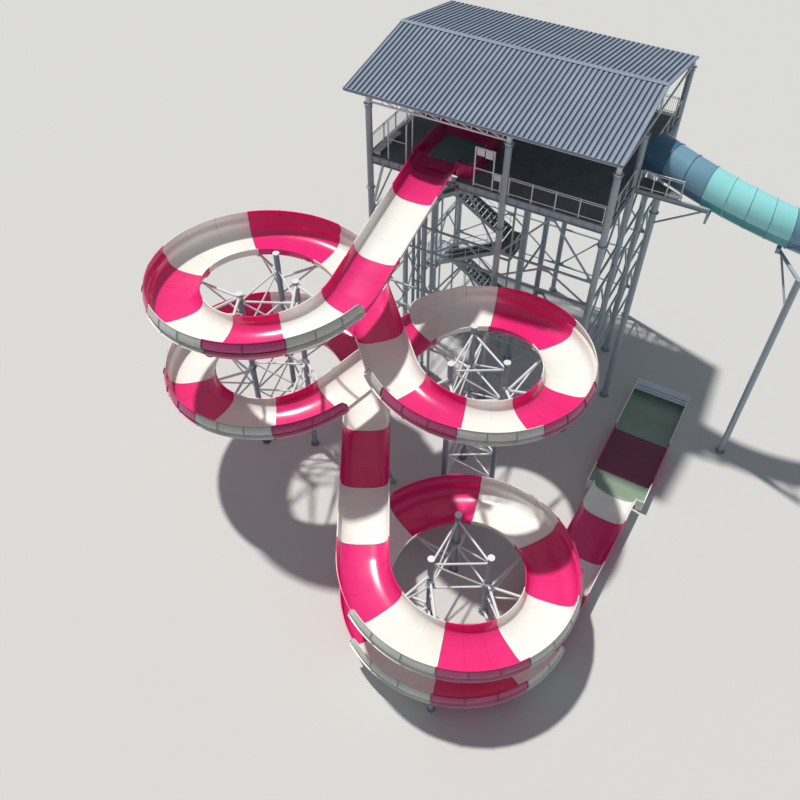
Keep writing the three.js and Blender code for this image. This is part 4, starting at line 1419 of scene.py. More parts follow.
@dataclass
class LaunchTub:
    """Round-cornered basin that rafts leave from, with still water in it."""

    route: Route
    x: Plan = (2.4, 6.15)
    y: Plan = (0.4, 4.3)
    foot: float = 15.80
    floor: float = 15.86
    top: float = 16.62
    mouth: float = 1.29
    middle: float = 3.871
    lean: float = 0.75
    water: float = 16.08

    def ring(self, inset: float, radius: float, z: float, count: int = 8) -> list[Vector]:
        """Points of a round-cornered rectangle.

        Args:
            inset: Distance inside the tub's outer line.
            radius: Radius of its corners.
            z: Height.
            count: Points on each corner.

        Returns:
            The points, counter-clockwise.
        """
        x0, x1 = self.x[0] + inset, self.x[1] - inset
        y0, y1 = self.y[0] + inset, self.y[1] - inset
        corners = ((x1 - radius, y0 + radius, -90), (x1 - radius, y1 - radius, 0),
                   (x0 + radius, y1 - radius, 90), (x0 + radius, y0 + radius, 180))
        points = []
        for cx, cy, start in corners:
            for k in range(count):
                angle = math.radians(start + 90 * k / (count - 1))
                points.append(Vector((cx + radius * math.cos(angle), cy + radius * math.sin(angle), z)))
        return points

    def throat(self) -> Piece:
        """Short trough that leads from the basin's mouth into the first section.

        Returns:
            The trough.
        """
        section = SlideSection(self.route, 0.0, 1.0, IN_MAGENTA)

        def place(u: float, v: float) -> Vector:
            """Point of the trough.

            Args:
                u: Share of the way across.
                v: Share of the way along.

            Returns:
                The point.
            """
            left, up = section.profile(0.04 + 0.92 * (1.0 - u))
            basin = Vector((self.middle + left * 0.99, self.y[0] + 0.6, self.floor - 0.03 + up))
            share = min(1.0, v / 0.6)
            down = 0.02 + 0.5 * max(0.0, (v - 0.6) / 0.4)
            on_chute = self.route.at(down).point(left * 0.992, up + 0.008 - 0.008 * v)
            return basin.lerp(on_chute, share * share * (3.0 - 2.0 * share))

        trough = shaped_grid(36, 20, place)
        thicken(trough, 0.02)
        # The trough takes the darker magenta: painted shade of the roof.
        return paint(trough, BASIN_MAGENTA_SHADE)

    def build(self) -> None:
        """Model the basin, its rolled rim and the water."""
        low, lean = self.floor + 0.02, self.lean
        rings = [self.ring(inset, radius, z) for inset, radius, z in (
            (0.0, 0.25, self.foot), (0.0, 0.25, self.top - 0.05), (0.0, 0.25, self.top),
            (0.09, 0.2, self.top), (0.12, 0.22, self.top - 0.06), (0.2 * lean + 0.1, 0.3, self.top - 0.2),
            (0.55 * lean + 0.1, 0.4, self.water + 0.08), (0.8 * lean + 0.1, 0.45, self.water - 0.04),
            (lean + 0.2, 0.45, low))]
        count = len(rings[0])

        def place(u: float, v: float) -> Vector:
            """Point of the basin."""
            return rings[round(v * (len(rings) - 1))][round(u * count) % count]

        shell = shaped_grid(count, len(rings) - 1, place)
        close_tube(shell)
        sill = [(self.y[0] - 0.2, 15.85), (self.y[0] + 0.06, 15.85), (self.y[0] + 0.55, self.water + 0.03),
                (self.y[0] + 1.3, self.water + 0.02), (self.y[0] + 1.3, self.top + 0.3),
                (self.y[0] - 0.2, self.top + 0.3)]
        carve(shell, prism(Axis.X, sill, self.middle - self.mouth, self.middle + self.mouth))
        # The basin takes the darker magenta: painted shade of the roof.
        paint(shell, BASIN_MAGENTA_SHADE)
        hand_over(join([shell, self.throat()]), "launch_basin", Slot.MAGENTA, ["launch_tub"])
        water = shaped_grid(24, 24, lambda u, v: Vector((
            self.x[0] + 0.2 + (self.x[1] - self.x[0] - 0.4) * u,
            self.y[0] + 0.6 + (self.y[1] - self.y[0] - 0.8) * v, self.water)))
        thicken(water, 0.05)
        hand_over(paint(water, WATER), "basin_water", None)


@dataclass
class RunoutLane:
    """Long shallow lane on the ground, moulded in three coloured lengths, with a slatted end."""

    x: Plan = (16.95, 20.48)
    y: Plan = (-3.745, 5.95)
    joints: tuple[float, ...] = (-2.2, 1.4)
    slabs: tuple[float, ...] = (0.5, 0.15, 0.11)
    top: float = 0.9
    floor: float = 0.36
    wall: float = 0.05
    neck: float = 1.36
    middle: float = 18.69

    def length(self, a: float, b: float, mould: Mould) -> list[Piece]:
        """Floor, walls, rims and outer ribs of one length.

        Args:
            a: Its lower Y.
            b: Its upper Y.
            mould: Its colour.

        Returns:
            The parts.
        """
        x0, x1 = self.x
        w = self.wall
        low, high = a + 0.003, b - 0.003
        floor = [block((x0 + w, x1 - w), (low, high), (self.floor - 0.08, self.floor))]
        made = []
        for side, x in ((1, x0), (-1, x1)):
            outline = [(0.0, 0.02), (w, 0.02), (w, self.top - 0.05), (w + 0.02, self.top - 0.02),
                       (w, self.top), (0.0, self.top)]
            made.append(prism(Axis.Y, [(x + side * p, q) for p, q in outline], low, high))
            fillet = [(w, 0.0), (w + 0.2, 0.0), (w + 0.07, 0.05), (w + 0.025, 0.12), (w, 0.24)]
            floor.append(prism(Axis.Y, [(x + side * p, self.floor + q) for p, q in fillet], low, high))
        return paint_all(floor, mould.wet) + paint_all(made, mould.face)

    def build(self) -> None:
        """Model the lane with its stepped neck, its joints and the slabs across its far end."""
        marks = [self.y[0], *self.joints, self.y[1]]
        parts = []
        for a, b, mould in zip(marks, marks[1:], (IN_WHITE, IN_MAGENTA, IN_WHITE)):
            parts += self.length(a, b, mould)
        (x0, x1), (y0, y1) = self.x, self.y
        for a, b in ((x0, self.middle - self.neck), (self.middle + self.neck, x1)):
            front = block((a + 0.004, b - 0.004), (y0, y0 + self.wall), (0.024, self.top - 0.004))
            parts.append(paint(front, WHITE))
        back = block((x0 + 0.004, x1 - 0.004), (y1 - self.wall, y1), (0.024, self.top - 0.006))
        parts.append(paint(back, WHITE))
        sill = block((self.middle - 0.88, self.middle + 0.88), (y0 - 0.12, y0 + 0.12), (0.0, 0.334))
        parts.append(paint(sill, STEEL))
        at = y1 - 0.02
        for width in self.slabs:
            slab = block((x0 + 0.05, x1 - 0.05), (at - width, at), (self.top - 0.12, self.top - 0.03))
            parts.append(paint(slab, RIDGE_PALE))
            at -= width + 0.09
        for mark in self.joints:
            across, up = (x0 + self.wall, x1 - self.wall), (self.floor - 0.02, self.floor + 0.003)
            parts.append(paint(block(across, (mark - 0.01, mark + 0.01), up), SEALANT))
        hand_over(join(parts), "runout_basin", Slot.WHITE, ["runout_lane"])
        water = shaped_grid(20, 40, lambda u, v: Vector((
            x0 + self.wall + 0.02 + (x1 - x0 - 2 * self.wall - 0.04) * u,
            y0 + 0.12 + (y1 - y0 - 0.24) * v, self.floor + 0.1)))
        hand_over(paint(water, SHALLOW), "lane_water", None)


# Steel frames

TOWER_X = (0.0, 8.2, 13.9)
TOWER_Y = (0.0, 4.2, 8.4, 12.6)
DECK_TOP = 15.84
DECK_THICK = 0.06
COLUMN_R = 0.184
COLUMN_TOP = 18.86
SEAT_GAP = 0.0003
UNDER_DECK = DECK_TOP - DECK_THICK - SEAT_GAP
BRACED_LEVELS = (12.1, 7.3, 2.5)
UP = Vector((0.0, 0.0, 1.0))


@dataclass
class Column:
    """Round column with a bolted base plate, and bolted splice collars where it has them."""

    x: float
    y: float
    top: float
    radius: float = COLUMN_R
    splices: tuple[float, ...] = ()
    capital: bool = False
    finish: Finish = STEEL
    sides: int = 28
    foot_share: float = 1.64
    foot_thick: float = 0.035
    foot_bolts: int = 8
    splice_bolts: int = 12

    def at(self, z: float) -> Vector:
        """Point on the column's axis."""
        return Vector((self.x, self.y, z))

    def build(self) -> list[Piece]:
        """Model the column.

        Returns:
            Its parts.
        """
        foot = self.radius * self.foot_share
        parts = [
            round_bar(self.at(0.0), self.at(self.top), self.radius, self.sides),
            disc(self.at(0.0), UP, foot, self.foot_thick, self.sides),
        ]
        for k in range(self.foot_bolts):
            angle = 2 * math.pi * k / self.foot_bolts
            out = Vector((math.cos(angle), math.sin(angle), 0.0))
            root = self.at(0.0) + out * self.radius * 0.9
            tip = self.at(0.0) + out * foot * 0.93
            parts.append(flat_bar(root + UP * 0.1, tip + UP * 0.1, 0.014, 0.14))
        collars = [(z + shift, 0.085, 0.026) for z in self.splices for shift in (-0.028, 0.002)]
        if self.capital:
            collars += [(self.top - 0.035, 0.08, 0.034), (self.top - 0.22, 0.03, 0.03)]
        for z, out, thick in collars:
            parts.append(disc(self.at(z), UP, self.radius + out, thick, self.sides))
        paint_all(parts, self.finish)
        nuts = bolts_round(self.at(self.foot_thick), UP, self.radius * 1.5, self.foot_bolts, 0.024)
        for z in self.splices:
            for lift, way in ((0.028, UP), (-0.028, -UP)):
                nuts += bolts_round(self.at(z + lift), way, self.radius + 0.05, self.splice_bolts, 0.019)
        return parts + paint_all(nuts, ZINC)


def deck_beam(
    a: Sequence[float], b: Sequence[float], top: float, height: float = 0.45, width: float = 0.2,
    pitch: float = 0.62, finish: Finish = STEEL,
) -> list[Piece]:
    """Rolled beam with two flanges, a web and stiffeners, lying level between two points.

    Args:
        a: Plan place of one end.
        b: Plan place of the other end.
        top: Height of its upper face.
        height: Its depth.
        width: Width of its flanges.
        pitch: Distance between stiffeners.
        finish: Its finish.

    Returns:
        Its parts.
    """
    start, end = Vector((a[0], a[1], 0.0)), Vector((b[0], b[1], 0.0))
    flange = 0.022
    layers = ((top - flange / 2, width, flange), (top - height + flange / 2, width, flange),
              (top - height / 2, 0.014, height - 2 * flange))
    parts = [flat_bar(start + UP * z, end + UP * z, wide, deep) for z, wide, deep in layers]
    along = end - start
    count = max(1, round(along.length / pitch))
    for k in range(1, count):
        at = start + along * (k / count) + UP * (top - height / 2)
        step = along.normalized() * 0.006
        parts.append(flat_bar(at - step, at + step, width - 0.012, height - 2 * flange))
    return paint_all(parts, finish)


def gusset(at: Vector, along: Vector, size: float, thick: float = 0.016) -> Piece:
    """Plate in the plane of a frame, where braces meet a rail.

    Args:
        at: Its middle.
        along: Level direction of the frame.
        size: Its size along and up.
        thick: Its thickness.

    Returns:
        The plate.
    """
    half = along.normalized() * size / 2
    return flat_bar(at - half, at + half, thick, size * 0.72)


@dataclass
class BraceSet:
    """Level rails and chevron braces of one bay, between two columns."""

    a: Plan
    b: Plan
    bays: tuple[Plan, ...]
    radius: float = 0.06
    inset: float = COLUMN_R
    foot_plate: float = 0.34
    tip_plate: float = 0.5

    def build(self) -> list[Piece]:
        """Model the braces with the plates that they end on.

        Returns:
            The parts.
        """
        a, b = Vector((*self.a, 0.0)), Vector((*self.b, 0.0))
        middle = (a + b) / 2
        along = (b - a).normalized()
        parts = []
        for upper, lower in self.bays:
            for foot, sign in ((a, 1), (b, -1)):
                start = foot + UP * lower + along * sign * self.inset * 0.7
                tip = middle + UP * (upper - 0.05)
                parts.append(round_bar(start, tip, self.radius, 14))
                corner = foot + along * sign * (self.inset + 0.1) + UP * (lower + 0.1)
                parts.append(gusset(corner, along, self.foot_plate))
            parts.append(gusset(middle + UP * (upper - 0.12), along, self.tip_plate))
        return paint_all(parts, STEEL)


@dataclass
class TowerFrames:
    """Columns, rails, braces and deck beams of the launch tower."""

    levels: tuple[float, ...] = (12.1, 10.45, 7.3, 5.65, 2.5)
    tall: tuple[Plan, ...] = ((15.4, 12.1), (10.45, 7.3), (5.65, 2.5))
    short: tuple[Plan, ...] = ((12.1, 10.45), (7.3, 5.65))
    post_x: float = 4.1
    beam_top: float = UNDER_DECK
    transom_top: float = 15.574

    def rails(self, a: Plan, b: Plan, radius: float = 0.075) -> list[Piece]:
        """Level rails on every level.

        Args:
            a: Plan place of one end.
            b: Plan place of the other end.
            radius: Their radius.

        Returns:
            The rails.
        """
        return paint_all([round_bar((*a, z), (*b, z), radius, 16) for z in self.levels], STEEL)

    def front(self) -> None:
        """Front frame with its thin post, knee tubes and the cut edge beam."""
        x0, x1, x2 = TOWER_X
        splices = {x0: (13.7,), x1: (13.7,), x2: (14.6,)}
        parts = []
        for x in TOWER_X:
            parts += Column(x, 0.0, COLUMN_TOP, splices=splices[x], capital=True).build()
        parts += Column(self.post_x, 0.0, self.transom_top - 0.02, 0.1).build()
        parts += self.rails((x0, 0.0), (x2, 0.0))
        parts += deck_beam((x0, 0.0), (2.44, 0.0), self.beam_top)
        parts += deck_beam((5.38, 0.0), (x2, 0.0), self.beam_top)
        parts += deck_beam((2.24, 0.0), (5.58, 0.0), self.transom_top, 0.2, 0.15)
        parts += BraceSet((x0, 0.0), (self.post_x, 0.0), self.tall[1:]).build()
        parts += BraceSet((self.post_x, 0.0), (x1, 0.0), self.tall + self.short, inset=0.1).build()
        parts += BraceSet((x1, 0.0), (x2, 0.0), self.tall + self.short).build()
        knees = (((0.18, 0.0, 12.77), (0.84, 0.0, 15.40), 0.075, PALE_STEEL),
                 ((0.38, 0.0, 12.84), (1.42, 0.0, 15.35), 0.055, STEEL))
        for foot, head, radius, finish in knees:
            parts.append(paint(round_bar(foot, head, radius, 14), finish))
        hand_over(join(parts), "front_steelwork", Slot.STEEL, ["front_frame"])

    def back(self) -> None:
        """Back frame."""
        x0, x1, x2 = TOWER_X
        y = TOWER_Y[-1]
        parts = []
        for x in TOWER_X:
            parts += Column(x, y, COLUMN_TOP, capital=True).build()
        parts += self.rails((x0, y), (x2, y))
        parts += deck_beam((x0, y), (x2, y), self.beam_top)
        parts += BraceSet((x0, y), (x1, y), self.tall).build()
        parts += BraceSet((x1, y), (x2, y), self.tall).build()
        hand_over(join(parts), "back_steelwork", Slot.STEEL, ["back_frame"])

    def side(self, name: str, node: str, x: float, tops: Plan) -> None:
        """One side frame.

        Args:
            name: Its name.
            node: Its CAD node.
            x: Its place along X.
            tops: Heights of its two inner columns.
        """
        parts = Column(x, TOWER_Y[1], tops[0], capital=tops[0] > DECK_TOP).build()
        parts += Column(x, TOWER_Y[2], tops[1], capital=tops[1] > DECK_TOP).build()
        near, far = COLUMN_R, TOWER_Y[-1] - COLUMN_R
        parts += self.rails((x, near), (x, far))
        parts += deck_beam((x, near), (x, far), self.beam_top)
        for a, b in zip(TOWER_Y, TOWER_Y[1:]):
            parts += BraceSet((x, a), (x, b), self.tall).build()
        hand_over(join(parts), name, Slot.STEEL, [node])

    def inner(self) -> None:
        """Columns and deck beams inside the tower."""
        x = TOWER_X[1]
        low, high = COLUMN_R, TOWER_Y[-1] - COLUMN_R
        left, right = TOWER_X[0] + 0.1, TOWER_X[2] - 0.1
        parts = Column(x, TOWER_Y[1], self.beam_top).build() + Column(x, TOWER_Y[2], self.beam_top).build()
        parts += deck_beam((x, low), (x, high), self.beam_top)
        parts += deck_beam((left, 1.9), (x, 1.9), self.beam_top)
        for y in TOWER_Y[1:3]:
            parts += deck_beam((left, y), (right, y), self.beam_top)
        parts += deck_beam((left, 10.5), (right, 10.5), self.beam_top)
        for z in BRACED_LEVELS:
            parts.append(paint(round_bar((x, TOWER_Y[1], z), (x, TOWER_Y[2], z), 0.075, 16), STEEL))
        hand_over(join(parts), "inner_steelwork", Slot.STEEL, ["inner_frame"])

    def build(self) -> None:
        """Model the frames."""
        self.front()
        self.back()
        under = self.beam_top
        self.side("left_steelwork", "left_frame", TOWER_X[0], (under, under))
        self.side("right_steelwork", "right_frame", TOWER_X[2], (COLUMN_TOP, under))
        self.inner()


@dataclass
class Roof:
    """Gabled roof of ribbed sheets with a ridge cap and edge flashings."""

    x: Plan = (-1.49, 14.1)
    y: Plan = (-0.15, 12.75)
    eave: float = 19.42
    ridge: float = 20.605
    ribs: int = 54
    rib: float = 0.05
    gap: float = 0.004

    def height(self, y: float) -> float:
        """Height of the roof's upper face.

        Args:
            y: Place along Y.

        Returns:
            The height.
        """
        middle, half = (self.y[0] + self.y[1]) / 2, (self.y[1] - self.y[0]) / 2
        return self.ridge - (self.ridge - self.eave) * abs(y - middle) / half

    def sheet(self, name: str, node: str, y0: float, y1: float) -> None:
        """One slope: pans with upstanding ribs.

        Args:
            name: Its name.
            node: Its CAD node.
            y0: Its lower Y.
            y1: Its upper Y.
        """
        x0, x1 = self.x
        shape = ((0.0, 0.0), (0.22, 0.0), (0.40, 0.75), (0.86, 1.0), (1.0, 0.0))
        cells = 4 * self.ribs

        def place(u: float, v: float) -> Vector:
            """Point of the sheet.

            Args:
                u: Share of the way across.
                v: Share of the way along.

            Returns:
                The point.
            """
            k = round(u * cells)
            along, up = shape[k % 4]
            share = min(1.0, (k // 4 + along) / self.ribs)
            y = y0 + (y1 - y0) * v
            return Vector((x0 + (x1 - x0) * share, y, self.height(y) - self.rib - self.gap + self.rib * up))

        sheet = shaped_grid(cells, 6, place)
        thicken(sheet, 0.012)
        paint(sheet, ROOF)
        # Faces on the falling side and at the foot of each rib take the dark fold finish: painted shade of
        # the ribs.
        sheet.data.materials.append(ROOF_FOLD_SHADE.build())
        pitch = (x1 - x0) / self.ribs
        for face in sheet.data.polygons:
            share = ((face.center.x - x0) / pitch) % 1.0
            face.material_index = 1 if share > shape[3][0] or share < shape[1][0] else 0
        hand_over(sheet, name, Slot.ROOFING, [node])

    def build(self) -> None:
        """Model both slopes, the ridge cap and the flashings along the edges."""
        middle = (self.y[0] + self.y[1]) / 2
        self.sheet("front_slope", "roof_sheet_front", self.y[0], middle - 0.01)
        self.sheet("back_slope", "roof_sheet_back", middle + 0.01, self.y[1])
        x0, x1 = self.x
        parts = []
        for side in (-1, 1):
            outline = [
                (middle + side * 0.19, self.height(middle + 0.19) - 0.002), (middle, self.ridge + 0.004),
                (middle, self.ridge + 0.016), (middle + side * 0.19, self.height(middle + 0.19) + 0.012),
            ]
            parts.append(prism(Axis.X, outline, x0, x1))
        crest = self.ridge - 0.002
        parts.append(round_bar((x0, middle, crest), (x1, middle, crest), 0.026, 12))
        for x in (x0 + 0.03, x1 - 0.03):
            for a, b in ((self.y[0], middle), (middle, self.y[1])):
                low, high = Vector((x, a, self.height(a) - 0.06)), Vector((x, b, self.height(b) - 0.06))
                parts.append(flat_bar(low, high, 0.05, 0.11))
        for y in self.y:
            at, low = y + (0.03 if y < middle else -0.03), self.eave - 0.09
            parts.append(flat_bar((x0, at, low), (x1, at, low), 0.05, 0.13))
        hand_over(join(paint_all(parts, RIDGE)), "roof_flashing", Slot.ROOFING, ["ridge_cap"])


@dataclass
class Railing:
    """Railing with posts, a top rail, a foot rail and fine upright bars."""

    a: Plan
    b: Plan
    posts: int
    base: float = DECK_TOP
    height: float = 1.1
    pitch: float = 0.115
    foot_rail: float = 0.12
    head_rail: float = 0.14
    post_width: float = 0.055
    bar_radius: float = 0.007

    def build(self) -> list[Piece]:
        """Model the railing.

        Returns:
            Its parts.
        """
        a, b = Vector((*self.a, self.base)), Vector((*self.b, self.base))
        run = b - a
        along = run.normalized()
        head = self.height - self.head_rail
        parts = [
            round_bar(a + UP * (self.height - 0.03), b + UP * (self.height - 0.03), 0.026, 12),
            flat_bar(a + UP * self.foot_rail, b + UP * self.foot_rail, 0.012, 0.05),
            flat_bar(a + UP * head, b + UP * head, 0.012, 0.04),
        ]
        for k in range(self.posts):
            at = a + run * (k / (self.posts - 1))
            top = at + UP * (self.height - 0.01)
            parts.append(flat_bar(at, top, self.post_width, self.post_width, along))
            parts.append(disc(at, UP, 0.07, 0.012, 12))
        bars = []
        count = round(run.length / self.pitch)
        for k in range(1, count):
            at = a + run * (k / count)
            bars.append(round_bar(at + UP * self.foot_rail, at + UP * head, self.bar_radius, 6))
        return paint_all(parts, PALE_STEEL) + paint_all(bars, BAR_STEEL)


@dataclass
class DeckGuards:
    """Railings, barriers, the slatted bench and the water risers on and under the deck."""

    clear: float = COLUMN_R + 0.06
    riser_x: tuple[float, ...] = (2.54, 2.9, 3.32)
    riser_y: float = 0.6
    riser_radius: float = 0.105
    couplings: tuple[float, ...] = (0.3, 3.6, 8.6, 13.4, 15.2)

    def railings(self) -> None:
        """Railings between the columns."""
        x0, x1, x2 = TOWER_X
        c, back = self.clear, TOWER_Y[3]
        runs = {
            "railing_front": ((x1 + c, 0.0), (x2 - c, 0.0), 5),
            "railing_left": ((x0, c), (x0, back - c), 10),
            "railing_back_left": ((x0 + c, back), (x1 - c, back), 7),
            "railing_back_right": ((x1 + c, back), (x2 - c, back), 5),
            "railing_right": ((x2, 7.5), (x2, back - c), 5),
            "railing_corner": ((x2, c), (x2, TOWER_Y[1] - c), 4),
        }
        for node, (a, b, posts) in runs.items():
            hand_over(join(Railing(a, b, posts).build()), f"{node}_bars", Slot.STEEL, [node])

    def barriers(self) -> None:
        """Tall barriers at both sides of the launch basin."""
        z0 = DECK_TOP
        a, b, c = (1.2, 0.0), (2.32, 0.0), (2.15, 1.0)
        parts = [flat_bar((*p, z0), (*p, top), 0.06, 0.06, Vector((1, 0, 0)))
                 for p, top in ((a, 18.14), (b, 18.2), (c, 18.2))]
        parts.append(round_bar((*a, 17.08), (*b, 17.08), 0.024, 10))
        parts.append(round_bar((*b, 18.17), (*c, 18.17), 0.025, 10))
        hand_over(join(paint_all(parts, PALE_STEEL)), "left_barrier", Slot.STEEL, ["barrier_left"])
        x0, x1, x2 = 6.42, 7.5, TOWER_X[1] - self.clear
        parts = [flat_bar((x, 0.0, z0), (x, 0.0, top), 0.065, 0.065, Vector((1, 0, 0)))
                 for x, top in ((x0, 18.14), (x1, 18.14), (x2, 16.94))]
        for z, end in ((18.11, x1), (16.9, x2), (15.95, x2)):
            parts.append(flat_bar((x0, 0.0, z), (end, 0.0, z), 0.05, 0.05))
        middle = (x0 + x1) / 2
        parts += [
            block((x0 + 0.08, middle - 0.03), (-0.008, 0.008), (17.68, 18.06)),
            block((middle + 0.03, x1 - 0.08), (-0.008, 0.008), (17.62, 18.06)),
            block((x1 + 0.06, x2 - 0.05), (-0.008, 0.008), (16.5, 16.84)),
        ]
        paint_all(parts, PALE_STEEL)
        for k in range(1, 16):
            x = x0 + (x2 - x0) * k / 16
            parts.append(paint(round_bar((x, 0.0, 15.95), (x, 0.0, 16.9), 0.007, 6), BAR_STEEL))
        hand_over(join(parts), "right_barrier", Slot.STEEL, ["barrier_right"])

    def bench(self) -> None:
        """Slatted bench at the left end of the deck."""
        parts = []
        seat, pitch, width = DECK_TOP + 0.16, 0.142, 0.1
        for low, high in ((0.02, 1.24), (1.32, 2.56)):
            for k in range(3):
                x = 0.2 + pitch * k
                parts.append(block((x, x + width), (low, high), (seat, DECK_TOP + 0.2)))
            for y in (low + 0.08, high - 0.16):
                parts.append(block((0.21, 0.6), (y, y + 0.08), (DECK_TOP + 0.001, seat)))
        hand_over(join(paint_all(parts, WHITE)), "bench_slats", Slot.WHITE, ["slatted_step"])

    def risers(self) -> None:
        """Water risers with couplings and clamps."""
        xs, y = self.riser_x, self.riser_y
        parts = []
        for x in xs:
            parts.append(round_bar((x, y, 0.0), (x, y, UNDER_DECK), self.riser_radius, 20))
            for z in self.couplings:
                parts += [disc((x, y, z + lift), UP, 0.15, 0.024, 20) for lift in (0.0, 0.028)]
        for z in BRACED_LEVELS:
            parts.append(flat_bar((xs[0], y + 0.1, z), (xs[-1], y + 0.1, z), 0.05, 0.08))
            parts.append(flat_bar((xs[1], 0.075, z), (xs[1], y, z), 0.06, 0.06))
            parts += [disc((x, y, z - 0.04), UP, 0.122, 0.08, 20) for x in xs]
        hand_over(join(paint_all(parts, STEEL)), "riser_pipes", Slot.STEEL, ["water_risers"])

    def build(self) -> None:
        """Model them all."""
        self.railings()
        self.barriers()
        self.bench()
        self.risers()


@dataclass
class Stair:
    """Steel stair inside the tower: flights between plate strings, landings and handrails."""

    x: Plan = (2.0, 6.1)
    landing: float = 1.15
    lane_a: Plan = (5.0, 6.3)
    lane_b: Plan = (6.4, 7.7)
    flights: int = 6
    risers: int = 15
    rails: tuple[Plan, ...] = ((0.95, 0.021), (0.5, 0.016))
    stanchions: int = 5
    plate: float = 0.05

    def flight(self, x0: float, x1: float, z0: float, lane: Plan) -> list[Piece]:
        """One flight that climbs from x0 to x1.

        Args:
            x0: Where it starts.
            x1: Where it ends.
            z0: Height of its foot.
            lane: Its range along Y.

        Returns:
            Its parts.
        """
        rise = DECK_TOP / self.flights
        step, tread = rise / self.risers, (x1 - x0) / (self.risers - 1)
        parts = []
        for y in (lane[0] + 0.02, lane[1] - 0.02):
            low, high = Vector((x0, y, z0 + 0.12)), Vector((x1, y, z0 + rise - 0.1))
            parts.append(paint(flat_bar(low, high, 0.012, 0.28), STEEL))
            for lift, radius in self.rails:
                rail = round_bar(low + UP * lift, high + UP * lift, radius, 8)
                parts.append(paint(rail, PALE_STEEL))
            for k in range(self.stanchions):
                at = low + (high - low) * (0.04 + 0.23 * k)
                parts.append(paint(round_bar(at, at + UP * self.rails[0][0], 0.019, 8), PALE_STEEL))
        for k in range(self.risers - 1):
            a = x0 + tread * k
            z = z0 + step * (k + 1)
            lo, hi = min(a, a + tread * 1.08), max(a, a + tread * 1.08)
            parts.append(paint(block((lo, hi), (lane[0] + 0.026, lane[1] - 0.026), (z - 0.035, z)), DECKING))
        return parts

    @staticmethod
    def bearers(xs: Plan, rows: Plan, span: Plan) -> list[Piece]:
        """Level frame of four bearers, on two lines across the rows and along the two rows."""
        along = [block(xs, (y - 0.045, y + 0.045), span) for y in rows]
        return along + [block((x - 0.045, x + 0.045), rows, span) for x in xs]

    def guard(self, x: float, z: float) -> list[Piece]:
        """Railing along the outer edge of a landing."""
        return Railing((x, self.lane_a[0]), (x, self.lane_b[1]), 4, z, height=1.0, pitch=0.14).build()

    def build(self) -> None:
        """Model each storey and the frame that holds the landings."""
        rise = DECK_TOP / self.flights
        x0, x1 = self.x
        near, far = self.lane_a[0], self.lane_b[1]
        for storey in range(self.flights // 2):
            z0 = storey * 2 * rise
            parts = self.flight(x0, x1, z0, self.lane_a) + self.flight(x1, x0, z0 + rise, self.lane_b)
            z = z0 + rise
            plate = block((x1, x1 + self.landing), (near, far), (z - self.plate, z))
            parts.append(paint(plate, DECKING))
            parts += deck_beam(
                (x1 + 0.06, near), (x1 + 0.06, far), z - self.plate, height=0.15, width=0.08, pitch=9.0)
            parts += self.guard(x1 + self.landing - 0.05, z)
            hand_over(join(parts), f"stair_{storey + 1}", Slot.GRATING, [f"stair_storey_{storey + 1}"])
        rows = (near - 0.06, far + 0.06)
        top = UNDER_DECK
        lines = (x0 - self.landing + 0.05, x0 - 0.06, x1 + 0.06, x1 + self.landing - 0.05)
        parts = [block((x - half, x + half), (y - half, y + half), (0.0, high))
                 for half, high in ((0.05, top), (0.11, 0.02)) for y in rows for x in lines]
        for level in range(1, self.flights):
            z = level * rise
            parts += self.bearers(lines[2:] if level % 2 else lines[:2], rows, (z - 0.32, z - 0.2))
            if level % 2 == 0:
                for span in ((z - self.plate, z), (z - 0.2, z - 0.19)):
                    parts.append(block((x0 - self.landing, x0), (near, far), span))
        parts += self.bearers((lines[0], lines[3]), rows, (top - 0.15, top))
        paint_all(parts, STEEL)
        for level in range(2, self.flights, 2):
            parts += self.guard(x0 - self.landing + 0.05, level * rise)
        hand_over(join(parts), "stair_posts", Slot.STEEL, ["stair_frame"])


# Masts that carry the coils


@dataclass
class Saddle:
    """Curved cradle that follows the channel's underside at a joint, with its web and stub."""

    route: Route
    distance: float
    drop: float
    first: float = 0.26
    share: float = 0.48
    clear: float = 0.079
    length: float = 0.16
    thick: float = 0.03
    web: float = 0.19
    stub: float = 0.14

    def build(self) -> list[Piece]:
        """Model the saddle.

        Returns:
            Its parts.
        """
        shape = SlideSection(self.route, self.distance, self.distance + 1.0, IN_WHITE)

        def place(u: float, v: float) -> Vector:
            """Point of the cradle."""
            line = shape.outside(self.first + self.share * (1.0 - u), self.clear)
            return self.route.at(self.distance + (v - 0.5) * self.length).point(*line)

        cradle = shaped_grid(20, 1, place)
        thicken(cradle, self.thick)
        here = self.route.at(self.distance)
        web = flat_bar(here.point(-0.5, -0.20), here.point(0.5, -0.20), 0.025, self.web)
        stub = flat_bar(here.point(0.0, -self.drop), here.point(0.0, -0.15), self.stub, self.stub)
        return [cradle, web, stub]


